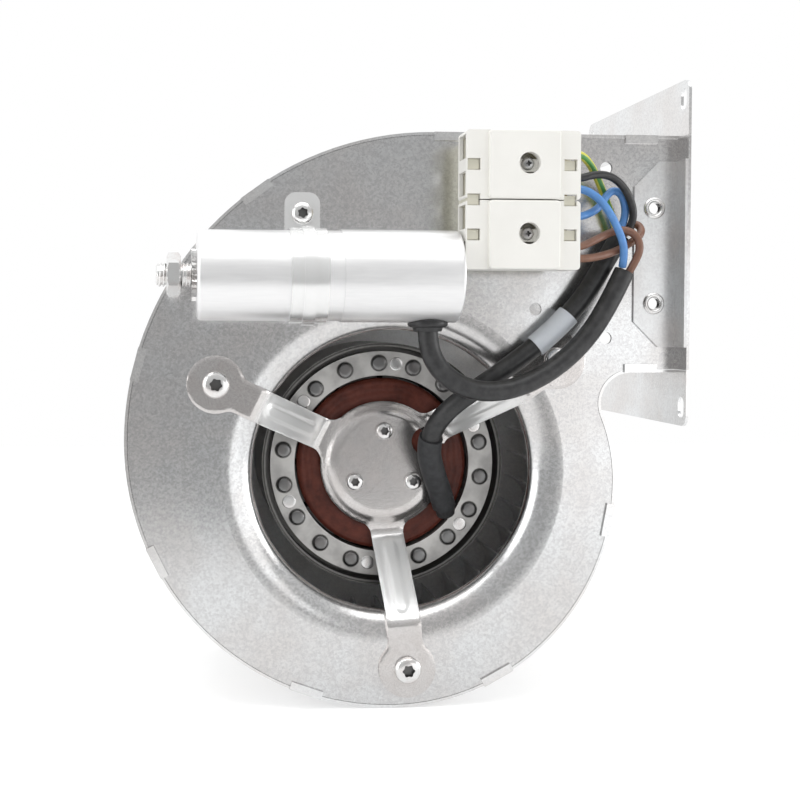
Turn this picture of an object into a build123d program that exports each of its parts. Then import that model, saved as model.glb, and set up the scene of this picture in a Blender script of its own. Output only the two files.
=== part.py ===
from build123d import *
import os
from math import atan2, cos, degrees, hypot, pi, radians, sin, sqrt, tan

os.makedirs("parts", exist_ok=True)

# Centrifugal fan with forward-curved blades, driven by an external-rotor motor in its inlet.
# Millimetres. +Z is up, +X is where the air leaves, and the inlet faces -Y.
# The origin is the middle of the outlet flange, on its mating face.
# Most pieces are drawn from the fan's axis, at a depth behind the inlet plate's front face.

# Sheet-metal housing
sheet = 1.0
housing_width = 86.0
axis_to_flange = 102.5
plate_clearance = 0.15
spiral_r1, spiral_r2, spiral_r3 = 80.0, 94.5, 108.5
spiral_drop = 3.7
nose_r = 60.0
tongue_r = 11.0
outlet_height = 84.4
flange_margin = 18.7
flange_leg = 10.0
flange_corner_r = 4.0
slot_width, slot_length = 5.0, 7.5
slot_outset_y, slot_outset_z = 5.5, 12.15
bend_r = 0.9
tab_length, tab_width = 11.8, 3.0
tab_angles_r1, tab_angles_r2, tab_angles_r3 = (-61.6, -10.4), (206.7, 250.6), (125.9, 165.5)
top_tabs_x, bottom_tab_x = (19.4, 88.2), 88.6
plate_hole_r = 2.2
top_hole_x, top_hole_drop = 75.6, 11.8
low_holes = ((50.3, 57.3), (75.9, 47.1))

# Flange stiffeners
stiffener_left, stiffener_clip = 85.7, 9.0
stiffener_low_inset, stiffener_high_inset = 9.1, 9.3
stiffener_rivet_x, stiffener_rivet_rises = 93.0, (16.3, -17.6)
hollow_rivet_r, hollow_rivet_bore = 3.0, 2.1
hollow_rivet_head_r, hollow_rivet_head = 3.9, 0.9

# Inlet and motor bracket
bell_outer_r, throat_r, lip_depth = 61.0, 49.8, 6.5
bracket_sheet = 1.5
arm_count = 3
arm_angle = 34.0
arm_width = 12.0
arm_bend_r = 53.0
arm_bead_width, arm_bead_height = 4.4, 0.9
pad_r = 10.1
neck_r = 5.0
pad_ring_r = 70.0
arm_foot_r = 26.0
bead_start_r, bead_end_r = 50.0, 28.5
hub_disc_r, hub_rim_r = 19.0, 23.3
hub_face_depth = 22.0
hub_rim_drop = 2.5
hub_screw_circle_r = 12.5
hub_screw_angle = 90.0
lead_notch_r = 5.2
lead_notch_x, lead_notch_z = 15.6, 8.6
lead_cut_x, lead_cut_low, lead_cut_high = 18.9, -15.6, 7.5

# Screws: shank radius, head radius, head height
bracket_screw = (2.5, 4.8, 2.7)
hub_screw = (2.0, 3.3, 2.2)
clamp_screw_size = (2.0, 3.9, 2.4)
cover_screw = (1.5, 2.2, 1.8)
snug = 0.05
hole_clearance = 0.25
bracket_screw_tip, clamp_screw_tip = 6.0, 5.5
hub_screw_grip = 3.0
nut_flat, nut_height = 8.0, 4.0
clamp_nut_flat, clamp_nut_height = 7.0, 3.2

# Motor
shaft_r = 4.0
running_clearance = 0.03
bearing_r, bearing_length = 8.0, 10.0
bearing_front_depth, bearing_rear_depth = 32.0, 50.0
tube_r = 11.0
stator_flange_r, stator_flange_thickness = 19.0, 4.0
stator_core_r = 32.4
stator_core_front, stator_core_length = 33.0, 26.0
slot_count = 12
stator_slot_depth, stator_slot_width, slot_mouth = 10.0, 7.0, 2.2
slot_liner = 0.25
winding_inner_r, winding_outer_r = 20.6, 31.8
winding_front = 26.6
winding_end_height = 5.6
air_gap = 0.4
rotor_r, rotor_wall = 45.0, 1.5
rotor_front, impeller_back = 24.5, 71.0
end_ring_front = 26.0
end_ring_r = 41.8
stud_count, stud_r, stud_height, stud_circle_r, stud_angle = 18, 2.6, 1.1, 37.4, 12.0
cage_bar_r = 1.6
rotor_boss_r, rotor_boss_length = 12.0, 8.0
circlip_thickness, circlip_r, groove_r = 0.9, 6.5, 3.4
washer_thickness, washer_r, washer_play = 0.6, 7.5, 0.1
shaft_front, shaft_stand_out = 29.0, 1.3
felt_end_gap = 1.0
cup_corner_r = 3.0

# Impeller
impeller_r = 70.0
blade_count = 38
blade_inner_r, blade_outer_r = 59.5, 68.8
blade_sweep = 5.4
blade_sheet = 0.6
impeller_front = 9.0
front_ring_width, front_ring_sheet, front_ring_rim = 7.5, 0.8, 3.5
back_plate_sheet = 0.9
back_hole_r = 17.0
rivet_count, rivet_r, rivet_head_r, rivet_head, rivet_circle_r = 6, 2.0, 3.6, 1.2, 30.0

# Capacitor
can_r = 15.2
can_left, can_right, cap_left, cap_right = -69.9, 2.0, -21.8, 18.2
cap_wall, cap_end_wall, cap_corner_r = 0.35, 1.2, 1.0
can_corner_r = 1.5
capacitor_z = 68.0
clamp_sheet, clamp_gap = 0.8, 0.25
clamp_tab_r = 4.0
clamp_bead_width, clamp_bead_height = 4.0, 0.7
clamp_x, clamp_width = -33.0, 12.4
clamp_foot_top = 97.5
clamp_screw_z = 90.2
stud_thread_r, stud_out = 4.0, 13.4
stud_nut_flat, stud_nut_height, stud_nut_gap = 13.0, 4.7, 5.2
stud_washer_r, stud_washer_height = 8.75, 1.6
grommet_x, grommet_r, grommet_length = 8.3, 6.2, 3.4
grommet_neck_r, grommet_neck = 4.35, 1.2

# Terminal blocks
block_left, block_right = 19.0, 57.8
block_top, block_height = 116.4, 22.9
cover_front, cover_back = 28.0, 14.0
wing_front = 26.0
middle_left, middle_right = 26.5, 50.5
cover_wall, cover_play, cover_corner_r = 1.3, 0.2, 1.2
cover_seam = 0.4
base_left_inset, base_right_inset, base_end_inset, tray = 3.5, 1.5, 1.0, 1.5
window_left, window_right = 21.6, 54.4
window_width, window_height, window_drop = 4.4, 3.9, 11.4
side_window_height, side_window_drop, side_window_pitch = 8.0, 5.4, 12.2
side_window_low = 1.6
latch_play, latch_front = 0.6, 24.6
cover_screw_x, cover_screw_drop = 40.0, 11.0
cover_boss_r, counterbore_r, counterbore_depth = 5.2, 3.6, 3.4
cover_screw_bite = 6.0
wire_clamp_right, wire_clamp_length, wire_clamp_height = 54.4, 6.0, 7.0

# Leads and wires
lead_r = 3.5
boot_r, sleeve_r = 4.3, 4.0
wire_r = 1.35
corner_bite = 0.45

# Worked out from the sizes above
first_z = -spiral_drop
later_z = first_z + spiral_r2 - spiral_r1
outlet_top = later_z + spiral_r3
outlet_bottom = outlet_top - outlet_height
outlet_rise = (outlet_top + outlet_bottom) / 2
half_width = housing_width / 2
plate_inset = sheet + plate_clearance
slot_spacing_y = housing_width + 2 * slot_outset_y
slot_spacing_z = outlet_height + 2 * slot_outset_z
plate_holes = ((top_hole_x, outlet_top - top_hole_drop), *low_holes)
stiffener_low, stiffener_high = outlet_bottom + stiffener_low_inset, outlet_top - stiffener_high_inset
stiffener_rivets = [(stiffener_rivet_x, outlet_rise + rise) for rise in stiffener_rivet_rises]
front_ring_inner_r = impeller_r - front_ring_width


def at(x, z, depth):
    """A point given from the fan's axis: to the right, up, and behind the inlet plate's front face."""
    return Vector(x - axis_to_flange, depth - half_width, z - outlet_rise)


def facing(depth, x=0.0, z=0.0):
    """A plane parallel to the inlet plate, seen from the inlet side, with its normal towards the viewer."""
    return Plane(origin=at(x, z, depth), x_dir=(1, 0, 0), z_dir=(0, -1, 0))


def section(angle=0.0):
    """A half-plane through the fan's axis: radius to its right, depth up."""
    turn = radians(angle)
    return Plane(origin=at(0, 0, 0), x_dir=(cos(turn), 0, sin(turn)), z_dir=(-sin(turn), 0, cos(turn)))


fan_axis = Axis(at(0, 0, 0), (0, 1, 0))


def keep(part, label):
    part.label = label
    export_step(part, f"parts/{label}.step")


def turned(label, *profile):
    """A piece turned about the fan's axis, from corners given as radius and depth."""
    with BuildPart() as piece:
        with BuildSketch(section()):
            with BuildLine():
                Polyline(*profile, close=True)
            make_face()
        revolve(axis=fan_axis)
    keep(piece.part, label)
    return piece.part



def ring_profile(inner, outer, front, back):
    return (inner, front), (outer, front), (outer, back), (inner, back)

def around(radius, count, start_angle):
    """Places evenly round the fan's axis."""
    turns = [radians(start_angle + number * 360 / count) for number in range(count)]
    return [(radius * cos(turn), radius * sin(turn)) for turn in turns]


def stacked(label, places, front, *discs, bore=0.0):
    """Identical pieces at these places, each a stack of discs given as radius and rear depth."""
    with BuildPart() as pieces:
        for radius, back in discs:
            with BuildSketch(facing(front)):
                with Locations(*places):
                    Circle(radius)
                    if bore:
                        Circle(bore, mode=Mode.SUBTRACT)
            extrude(amount=front - back)
            front = back
    keep(pieces.part, label)


def screw(label, places, seat, size, tip):
    """Screws with their heads on this seat, from their shank radius, head radius and head height."""
    shank_r, head_r, head_height = size
    stacked(label, places, seat - head_height, (head_r, seat), (shank_r, tip))


def nuts(label, places, front, flat, height, thread_r):
    """Hexagon nuts behind this face."""
    with BuildPart() as pieces:
        with BuildSketch(facing(front)):
            with Locations(*places):
                RegularPolygon(flat / 2, 6, major_radius=False)
                Circle(thread_r + snug, mode=Mode.SUBTRACT)
        extrude(amount=-height)
    keep(pieces.part, label)


# Scroll housing: one wrapper strip with its flange legs and bent tabs, and a flat plate on each side


def scroll_outline(inset, reach):
    """The scroll's outline, this far inside the strip's outer face, closed by a line across the outlet."""
    nose_x = spiral_r1 - nose_r
    tongue_z = outlet_bottom - tongue_r
    tongue_x = nose_x + sqrt((nose_r + tongue_r) ** 2 - (tongue_z - first_z) ** 2)
    nose_angle = degrees(atan2(tongue_z - first_z, tongue_x - nose_x))
    CenterArc((tongue_x, tongue_z), tongue_r + inset, 90, 90 + nose_angle)
    CenterArc((nose_x, first_z), nose_r - inset, nose_angle, -nose_angle)
    CenterArc((0, first_z), spiral_r1 - inset, 0, -90)
    CenterArc((0, later_z), spiral_r2 - inset, -90, -90)
    CenterArc((spiral_r3 - spiral_r2, later_z), spiral_r3 - inset, 180, -90)
    Polyline(
        (spiral_r3 - spiral_r2, outlet_top - inset),
        (reach, outlet_top - inset),
        (reach, outlet_bottom + inset),
        (tongue_x, outlet_bottom + inset),
    )


def side_plate(depth, outward):
    """Flat sheet inside the strip, with a leg bent out along the flange. outward is -1 at the front."""
    front_face = depth if outward < 0 else depth - sheet
    leg_height = outlet_height - 2 * plate_inset
    with BuildPart() as plate:
        with BuildSketch(facing(front_face)):
            with BuildLine():
                scroll_outline(plate_inset, axis_to_flange)
            make_face()
            with Locations(*plate_holes):
                Circle(plate_hole_r, mode=Mode.SUBTRACT)
            with Locations(*stiffener_rivets):
                Circle(hollow_rivet_r + snug, mode=Mode.SUBTRACT)
        extrude(amount=-sheet)
        with BuildSketch(Plane(at(axis_to_flange, outlet_rise, depth), x_dir=(0, 1, 0), z_dir=(1, 0, 0))):
            with Locations((outward * flange_leg / 2, 0)):
                Rectangle(flange_leg, leg_height)
        extrude(amount=-sheet)
        outer_bend = at(axis_to_flange, outlet_rise, depth - outward * sheet)
        uprights = plate.edges().filter_by(Axis.Z).filter_by(lambda edge: edge.length > 0.9 * leg_height)
        fillet(uprights.sort_by_distance(outer_bend)[0], bend_r)
    return plate.part


rear_plate = side_plate(housing_width, 1)
keep(rear_plate, "rear_plate")

plate_blank = side_plate(0, -1)
with BuildPart() as inlet_plate:
    add(plate_blank)
    with BuildSketch(facing(0)):
        Circle(bell_outer_r)
        with PolarLocations(pad_ring_r, arm_count, start_angle=arm_angle):
            Circle(bracket_screw[0] + hole_clearance)
        with Locations((clamp_x, clamp_screw_z)):
            Circle(clamp_screw_size[0] + hole_clearance)
    extrude(amount=-sheet, mode=Mode.SUBTRACT)
    with BuildSketch(section()):
        with BuildLine():
            bell_centre = (bell_outer_r, lip_depth)
            bell_reach = bell_outer_r - throat_r
            EllipticalCenterArc(bell_centre, bell_reach, lip_depth, start_angle=180, arc_size=90)
            EllipticalCenterArc(
                bell_centre, bell_reach - sheet, lip_depth - sheet, start_angle=180, arc_size=90
            )
            Line((throat_r, lip_depth), (throat_r + sheet, lip_depth))
            Line((bell_outer_r, 0), (bell_outer_r, sheet))
        make_face()
    revolve(axis=fan_axis)
keep(inlet_plate.part, "inlet_plate")


def tab_on_arc(centre_x, centre_z, radius, angle):
    """A tab's place on the scroll: a point on this arc, and the way inwards."""
    turn = radians(angle)
    return Location((centre_x + radius * cos(turn), centre_z + radius * sin(turn), 0), (0, 0, angle + 180))


tabs = [tab_on_arc(0, first_z, spiral_r1, angle) for angle in tab_angles_r1]
tabs += [tab_on_arc(0, later_z, spiral_r2, angle) for angle in tab_angles_r2]
tabs += [tab_on_arc(spiral_r3 - spiral_r2, later_z, spiral_r3, angle) for angle in tab_angles_r3]
tabs += [Location((x, outlet_top, 0), (0, 0, -90)) for x in top_tabs_x]
tabs += [Location((bottom_tab_x, outlet_bottom, 0), (0, 0, 90))]

with BuildPart() as scroll_strip:
    with BuildSketch(facing(0)):
        with BuildLine():
            scroll_outline(0, axis_to_flange)
        make_face()
    extrude(amount=-housing_width)
    with BuildSketch(facing(0)):
        with BuildLine():
            scroll_outline(sheet, axis_to_flange)
        make_face()
    extrude(amount=-housing_width, mode=Mode.SUBTRACT)
    with BuildSketch(Plane.YZ):
        with GridLocations(0, outlet_height - 2 * sheet + flange_margin + sheet, 1, 2):
            Rectangle(housing_width + 2 * flange_leg, flange_margin + sheet)
        with GridLocations(slot_spacing_y, slot_spacing_z, 2, 2):
            SlotOverall(slot_length, slot_width, rotation=90, mode=Mode.SUBTRACT)
    extrude(amount=-sheet)
    flange_half = outlet_height / 2 + flange_margin
    tips = scroll_strip.edges().filter_by(Axis.X).filter_by(
        lambda edge: abs(abs(edge.center().Z) - flange_half) < 0.01
    )
    fillet(tips, flange_corner_r)
    for face, thickness in ((0, sheet), (housing_width, -sheet)):
        with BuildSketch(facing(face)):
            with Locations(*tabs):
                Rectangle(tab_width, tab_length, align=(Align.MIN, Align.CENTER))
        extrude(amount=thickness)
keep(scroll_strip.part, "scroll_strip")

# Flange stiffeners: a clipped angle outside each side plate, its leg behind the plate's own leg,
# and the two hollow rivets that hold it

stiffener_right = axis_to_flange - sheet
for side, outer_face, leg_face in (("front", -sheet, -flange_leg), ("rear", housing_width, housing_width)):
    with BuildPart() as stiffener:
        with BuildSketch(facing(outer_face)):
            with BuildLine():
                Polyline(
                    (stiffener_right, stiffener_low),
                    (stiffener_left + stiffener_clip, stiffener_low),
                    (stiffener_left, stiffener_low + stiffener_clip),
                    (stiffener_left, stiffener_high - stiffener_clip),
                    (stiffener_left + stiffener_clip, stiffener_high),
                    (stiffener_right, stiffener_high),
                    close=True,
                )
            make_face()
            with Locations(*stiffener_rivets):
                Circle(hollow_rivet_r + snug, mode=Mode.SUBTRACT)
        extrude(amount=-sheet)
        with BuildSketch(facing(leg_face)):
            with Locations((stiffener_right - sheet / 2, (stiffener_low + stiffener_high) / 2)):
                Rectangle(sheet, stiffener_high - stiffener_low)
        extrude(amount=-flange_leg)
    keep(stiffener.part, side + "_stiffener")

    first_face = outer_face if side == "front" else outer_face - sheet
    stacked(
        side + "_hollow_rivets",
        stiffener_rivets,
        first_face - hollow_rivet_head,
        (hollow_rivet_head_r, first_face),
        (hollow_rivet_r, first_face + 2 * sheet),
        (hollow_rivet_head_r, first_face + 2 * sheet + hollow_rivet_head),
        bore=hollow_rivet_bore,
    )

# Motor bracket: a pan in the middle and three arms, bent from one sheet

pan_rim_depth = hub_face_depth + hub_rim_drop
with BuildPart() as motor_bracket:
    with BuildSketch(section()):
        with BuildLine():
            Polyline(
                (0, hub_face_depth),
                (hub_disc_r, hub_face_depth),
                (hub_rim_r, pan_rim_depth),
                (hub_rim_r, pan_rim_depth + bracket_sheet),
                (hub_disc_r, hub_face_depth + bracket_sheet),
                (0, hub_face_depth + bracket_sheet),
                close=True,
            )
        make_face()
    revolve(axis=fan_axis)
    with BuildSketch(facing(0)):
        with PolarLocations(pad_ring_r, arm_count, start_angle=arm_angle):
            Circle(pad_r)
    extrude(amount=bracket_sheet)
    for arm in range(arm_count):
        arm_plane = section(arm_angle + arm * 360 / arm_count)
        with BuildSketch(arm_plane):
            with BuildLine():
                Polyline(
                    (pad_ring_r, 0),
                    (arm_bend_r, 0),
                    (arm_foot_r, pan_rim_depth + bracket_sheet),
                    (hub_rim_r - bracket_sheet, pan_rim_depth + bracket_sheet),
                )
                offset(amount=bracket_sheet, side=Side.LEFT)
            make_face()
        extrude(amount=arm_width / 2, both=True)
        slope_start = arm_plane.from_local_coords((arm_bend_r, 0))
        slope_end = arm_plane.from_local_coords((arm_foot_r, pan_rim_depth + bracket_sheet))
        slope = (slope_end - slope_start).normalized()
        outwards = slope.cross(arm_plane.z_dir)
        if outwards.Y > 0:
            outwards = outwards * -1
        fall = (arm_bend_r - arm_foot_r) / (slope_end - slope_start).length
        bead_from, bead_to = (arm_bend_r - bead_start_r) / fall, (arm_bend_r - bead_end_r) / fall
        with BuildSketch(Plane(slope_start + outwards * bracket_sheet, x_dir=slope, z_dir=outwards)):
            with Locations(((bead_from + bead_to) / 2, 0)):
                SlotOverall(bead_to - bead_from, arm_bead_width)
        extrude(amount=arm_bead_height, taper=35)
    with BuildSketch(facing(hub_face_depth - bracket_sheet)):
        with PolarLocations(hub_screw_circle_r, arm_count, start_angle=hub_screw_angle):
            Circle(hub_screw[0] + hole_clearance)
        with Locations((lead_notch_x, lead_notch_z)):
            Circle(lead_notch_r)
        with Locations((lead_cut_x, lead_cut_low)):
            Rectangle(hub_rim_r - lead_cut_x, lead_cut_high - lead_cut_low, align=(Align.MIN, Align.MIN))
    extrude(amount=-(hub_rim_drop + 3 * bracket_sheet), mode=Mode.SUBTRACT)
    neck_reach = hypot(pad_ring_r - sqrt(pad_r**2 - (arm_width / 2) ** 2), arm_width / 2)
    necks = motor_bracket.edges().filter_by(Axis.Y).filter_by(
        lambda edge: abs(hypot(edge.center().X + axis_to_flange, edge.center().Z + outlet_rise) - neck_reach) < 0.05
    )
    fillet(necks, neck_r)
    with BuildSketch(facing(-bracket_sheet)):
        with PolarLocations(pad_ring_r, arm_count, start_angle=arm_angle):
            Circle(bracket_screw[0] + hole_clearance)
    extrude(amount=-bracket_sheet, mode=Mode.SUBTRACT)
keep(motor_bracket.part, "motor_bracket")

pad_places = around(pad_ring_r, arm_count, arm_angle)
screw("bracket_screws", pad_places, -bracket_sheet, bracket_screw, bracket_screw_tip)
nuts("bracket_nuts", pad_places, sheet, nut_flat, nut_height, bracket_screw[0])

hub_screw_places = around(hub_screw_circle_r, arm_count, hub_screw_angle)
flange_face = hub_face_depth + bracket_sheet
screw("hub_screws", hub_screw_places, hub_face_depth, hub_screw, flange_face + hub_screw_grip)

# Motor, still half: flange with its bearing tube, sleeve bearings, laminated core and varnished winding

bearing_back = bearing_rear_depth + bearing_length
flange_back = flange_face + stator_flange_thickness
tube_bore_r = bearing_r + snug
with BuildPart() as stator_flange:
    with BuildSketch(section()):
        with BuildLine():
            Polyline(
                (0, flange_face),
                (stator_flange_r, flange_face),
                (stator_flange_r, flange_back),
                (tube_r, flange_back),
                (tube_r, bearing_back),
                (tube_bore_r, bearing_back),
                (tube_bore_r, flange_back),
                (0, flange_back),
                close=True,
            )
        make_face()
    revolve(axis=fan_axis)
    with BuildSketch(facing(flange_face)):
        with Locations(*hub_screw_places):
            Circle(hub_screw[0] + snug)
    extrude(amount=-(hub_screw_grip + snug), mode=Mode.SUBTRACT)
keep(stator_flange.part, "stator_flange")

bushing_bore_r = shaft_r + running_clearance
for label, front in (("front_bearing", bearing_front_depth), ("rear_bearing", bearing_rear_depth)):
    turned(label, *ring_profile(bushing_bore_r, bearing_r, front, front + bearing_length))
felt_front = bearing_front_depth + bearing_length + felt_end_gap
felt_back = bearing_rear_depth - felt_end_gap
turned("felt_ring", *ring_profile(shaft_r + hole_clearance, bearing_r, felt_front, felt_back))

core_back = stator_core_front + stator_core_length
slot_floor_r = winding_inner_r - slot_liner
with BuildPart() as stator_core:
    with BuildSketch(facing(stator_core_front)):
        Circle(stator_core_r)
        Circle(tube_r + snug, mode=Mode.SUBTRACT)
        with PolarLocations(slot_floor_r, slot_count):
            Rectangle(
                stator_slot_depth, stator_slot_width, align=(Align.MIN, Align.CENTER), mode=Mode.SUBTRACT
            )
            Rectangle(
                stator_core_r - slot_floor_r, slot_mouth, align=(Align.MIN, Align.CENTER), mode=Mode.SUBTRACT
            )
    extrude(amount=-stator_core_length)
keep(stator_core.part, "stator_core")

front_turns_back = winding_front + winding_end_height
rear_turns_front = core_back + stator_core_front - front_turns_back
with BuildPart() as stator_winding:
    for front in (winding_front, rear_turns_front):
        with BuildSketch(facing(front)):
            Circle(winding_outer_r)
            Circle(winding_inner_r, mode=Mode.SUBTRACT)
        extrude(amount=-winding_end_height)
    fillet(stator_winding.edges(), winding_end_height / 3)
    with BuildSketch(facing(front_turns_back - winding_end_height / 2)):
        with PolarLocations(winding_inner_r, slot_count):
            Rectangle(
                stator_slot_depth - 2 * slot_liner,
                stator_slot_width - 2 * slot_liner,
                align=(Align.MIN, Align.CENTER),
            )
    extrude(amount=-(rear_turns_front - front_turns_back + winding_end_height))
keep(stator_winding.part, "stator_winding")

# Motor, turning half: deep-drawn cup, laminated ring with its cast cage, shaft, circlip and thrust washers

cup_wall_front = impeller_back - rotor_wall
boss_front = cup_wall_front - rotor_boss_length
rivet_places = around(rivet_circle_r, rivet_count, 0)
with BuildPart() as rotor_cup:
    with BuildSketch(section()):
        with BuildLine():
            Polyline(
                (rotor_r, rotor_front),
                (rotor_r, impeller_back),
                (shaft_r + snug, impeller_back),
                (shaft_r + snug, boss_front),
                (rotor_boss_r, boss_front),
                (rotor_boss_r, cup_wall_front),
                (rotor_r - rotor_wall, cup_wall_front),
                (rotor_r - rotor_wall, rotor_front),
                close=True,
            )
        make_face()
    revolve(axis=fan_axis)
    rims = rotor_cup.edges().filter_by(GeomType.CIRCLE)
    fillet(rims.filter_by(lambda edge: abs(edge.radius - rotor_r) < 0.01).sort_by(Axis.Y)[-1], cup_corner_r)
    inner_rims = rotor_cup.edges().filter_by(GeomType.CIRCLE).filter_by(
        lambda edge: abs(edge.radius - rotor_r + rotor_wall) < 0.01
    )
    fillet(inner_rims.sort_by(Axis.Y)[-1], cup_corner_r - rotor_wall)
    with BuildSketch(facing(cup_wall_front)):
        with Locations(*rivet_places):
            Circle(rivet_r + snug)
    extrude(amount=-rotor_wall, mode=Mode.SUBTRACT)
keep(rotor_cup.part, "rotor_cup")

rotor_bore_r = stator_core_r + air_gap
stud_places = around(stud_circle_r, stud_count, stud_angle)
with BuildPart() as rotor_core:
    with BuildSketch(facing(stator_core_front)):
        Circle(rotor_r - rotor_wall - snug)
        Circle(rotor_bore_r, mode=Mode.SUBTRACT)
        with Locations(*stud_places):
            Circle(cage_bar_r + snug, mode=Mode.SUBTRACT)
    extrude(amount=-stator_core_length)
keep(rotor_core.part, "rotor_core")

end_ring_thickness = stator_core_front - end_ring_front
with BuildPart() as rotor_cage:
    for front in (end_ring_front, core_back):
        with BuildSketch(facing(front)):
            Circle(end_ring_r)
            Circle(rotor_bore_r, mode=Mode.SUBTRACT)
        extrude(amount=-end_ring_thickness)
    with BuildSketch(facing(stator_core_front)):
        with Locations(*stud_places):
            Circle(cage_bar_r)
    extrude(amount=-stator_core_length)
    with BuildSketch(facing(end_ring_front)):
        with Locations(*stud_places):
            Circle(stud_r)
    extrude(amount=stud_height)
keep(rotor_cage.part, "rotor_cage")

front_washer = bearing_front_depth - washer_play - washer_thickness
groove_front = front_washer - washer_play - circlip_thickness
shaft_back = impeller_back + shaft_stand_out
turned(
    "shaft",
    (0, shaft_front),
    (shaft_r, shaft_front),
    (shaft_r, groove_front),
    (groove_r, groove_front),
    (groove_r, groove_front + circlip_thickness),
    (shaft_r, groove_front + circlip_thickness),
    (shaft_r, shaft_back),
    (0, shaft_back),
)

with BuildPart() as shaft_circlip:
    with BuildSketch(facing(groove_front)):
        Circle(circlip_r)
        Circle(groove_r + snug, mode=Mode.SUBTRACT)
        Rectangle(circlip_r, shaft_r, align=(Align.MIN, Align.CENTER), mode=Mode.SUBTRACT)
    extrude(amount=-(circlip_thickness - snug))
keep(shaft_circlip.part, "shaft_circlip")

rear_washers = [bearing_back + washer_play, bearing_back + 2 * washer_play + washer_thickness]
with BuildPart() as thrust_washers:
    for front in [front_washer] + rear_washers:
        with BuildSketch(facing(front)):
            Circle(washer_r)
            Circle(shaft_r + snug, mode=Mode.SUBTRACT)
        extrude(amount=-washer_thickness)
keep(thrust_washers.part, "thrust_washers")

# Impeller: forward-curved blades between a back plate and a flanged front ring

back_plate_rear = impeller_back + back_plate_sheet
with BuildPart() as impeller_backplate:
    with BuildSketch(facing(impeller_back)):
        Circle((blade_outer_r + impeller_r) / 2)
        Circle(back_hole_r, mode=Mode.SUBTRACT)
        with Locations(*rivet_places):
            Circle(rivet_r + snug, mode=Mode.SUBTRACT)
    extrude(amount=-back_plate_sheet)
keep(impeller_backplate.part, "impeller_backplate")

turned(
    "impeller_front_ring",
    (front_ring_inner_r, impeller_front),
    (impeller_r, impeller_front),
    (impeller_r, impeller_front + front_ring_rim),
    (impeller_r - front_ring_sheet, impeller_front + front_ring_rim),
    (impeller_r - front_ring_sheet, impeller_front + front_ring_sheet),
    (front_ring_inner_r, impeller_front + front_ring_sheet),
)

blade_front = impeller_front + front_ring_sheet
blade_tip = Vector(blade_outer_r, 0).rotate(Axis.Z, -blade_sweep)
with BuildPart() as impeller_blades:
    with BuildSketch(facing(blade_front)) as blade_section:
        with BuildLine() as camber:
            TangentArc((blade_inner_r, 0), blade_tip, tangent=(1, 0))
        trace(line_width=blade_sheet)
    extrude(amount=-(impeller_back - blade_front))
    blade = impeller_blades.part
with BuildPart() as impeller_blades:
    for turn in range(blade_count):
        add(blade.rotate(fan_axis, turn * 360 / blade_count))
keep(impeller_blades.part, "impeller_blades")

stacked(
    "impeller_rivets",
    rivet_places,
    cup_wall_front - rivet_head,
    (rivet_head_r, cup_wall_front),
    (rivet_r, back_plate_rear),
    (rivet_head_r, back_plate_rear + rivet_head),
)

# Capacitor: can, its protective end cap, the unused stud, and the clamp that straps it to the inlet plate

clamp_r = can_r + snug + clamp_sheet
cap_r = can_r + snug + cap_wall
capacitor_depth = -(clamp_r + clamp_gap)


def across_can(x):
    """A plane square to the capacitor's axis, with depth to its right and its normal along +X."""
    return Plane(at(x, capacitor_z, capacitor_depth), x_dir=(0, 1, 0), z_dir=(1, 0, 0))


with BuildPart() as capacitor_can:
    with BuildSketch(across_can(can_left)):
        Circle(can_r)
    extrude(amount=can_right - can_left)
    fillet(capacitor_can.edges().filter_by(GeomType.CIRCLE), can_corner_r)
keep(capacitor_can.part, "capacitor_can")

with BuildPart() as capacitor_cap:
    with BuildSketch(across_can(cap_left)):
        Circle(cap_r)
    extrude(amount=cap_right - cap_left)
    fillet(capacitor_cap.edges().filter_by(GeomType.CIRCLE).sort_by(Axis.X)[-1], cap_corner_r)
    with BuildSketch(across_can(cap_left)):
        Circle(can_r + snug)
    extrude(amount=cap_right - cap_end_wall - cap_left, mode=Mode.SUBTRACT)
    with BuildSketch(Plane(at(grommet_x, capacitor_z, capacitor_depth), z_dir=(0, 0, -1))):
        Circle(grommet_neck_r + snug)
    extrude(amount=cap_r + grommet_length, mode=Mode.SUBTRACT)
keep(capacitor_cap.part, "capacitor_cap")

with BuildPart() as cap_grommet:
    with BuildSketch(Plane(at(grommet_x, capacitor_z, capacitor_depth), z_dir=(0, 0, -1))):
        Circle(grommet_r)
    extrude(amount=cap_r + grommet_length)
    with BuildSketch(across_can(grommet_x)):
        Circle(cap_r + snug)
    extrude(amount=2 * grommet_r, both=True, mode=Mode.SUBTRACT)
    neck_top = cap_r - cap_wall - grommet_neck
    with BuildSketch(Plane(at(grommet_x, capacitor_z - neck_top, capacitor_depth), z_dir=(0, 0, -1))):
        Circle(grommet_neck_r)
    extrude(amount=cap_r + grommet_length - neck_top)
    with BuildSketch(Plane(at(grommet_x, capacitor_z, capacitor_depth), z_dir=(0, 0, -1))):
        Circle(lead_r + snug)
    extrude(amount=cap_r + grommet_length, mode=Mode.SUBTRACT)
keep(cap_grommet.part, "cap_grommet")

for label, radius, left, length in (
    ("capacitor_stud", stud_thread_r, can_left - stud_out, stud_out),
    ("stud_washer", stud_washer_r, can_left - stud_washer_height, stud_washer_height),
):
    with BuildPart() as piece:
        with BuildSketch(across_can(left)):
            Circle(radius)
            if radius > stud_thread_r:
                Circle(stud_thread_r + snug, mode=Mode.SUBTRACT)
        extrude(amount=length)
    keep(piece.part, label)

with BuildPart() as stud_nut:
    with BuildSketch(across_can(can_left - stud_nut_gap - stud_nut_height)):
        RegularPolygon(stud_nut_flat / 2, 6, major_radius=False)
        Circle(stud_thread_r + snug, mode=Mode.SUBTRACT)
    extrude(amount=stud_nut_height)
keep(stud_nut.part, "stud_nut")

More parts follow.
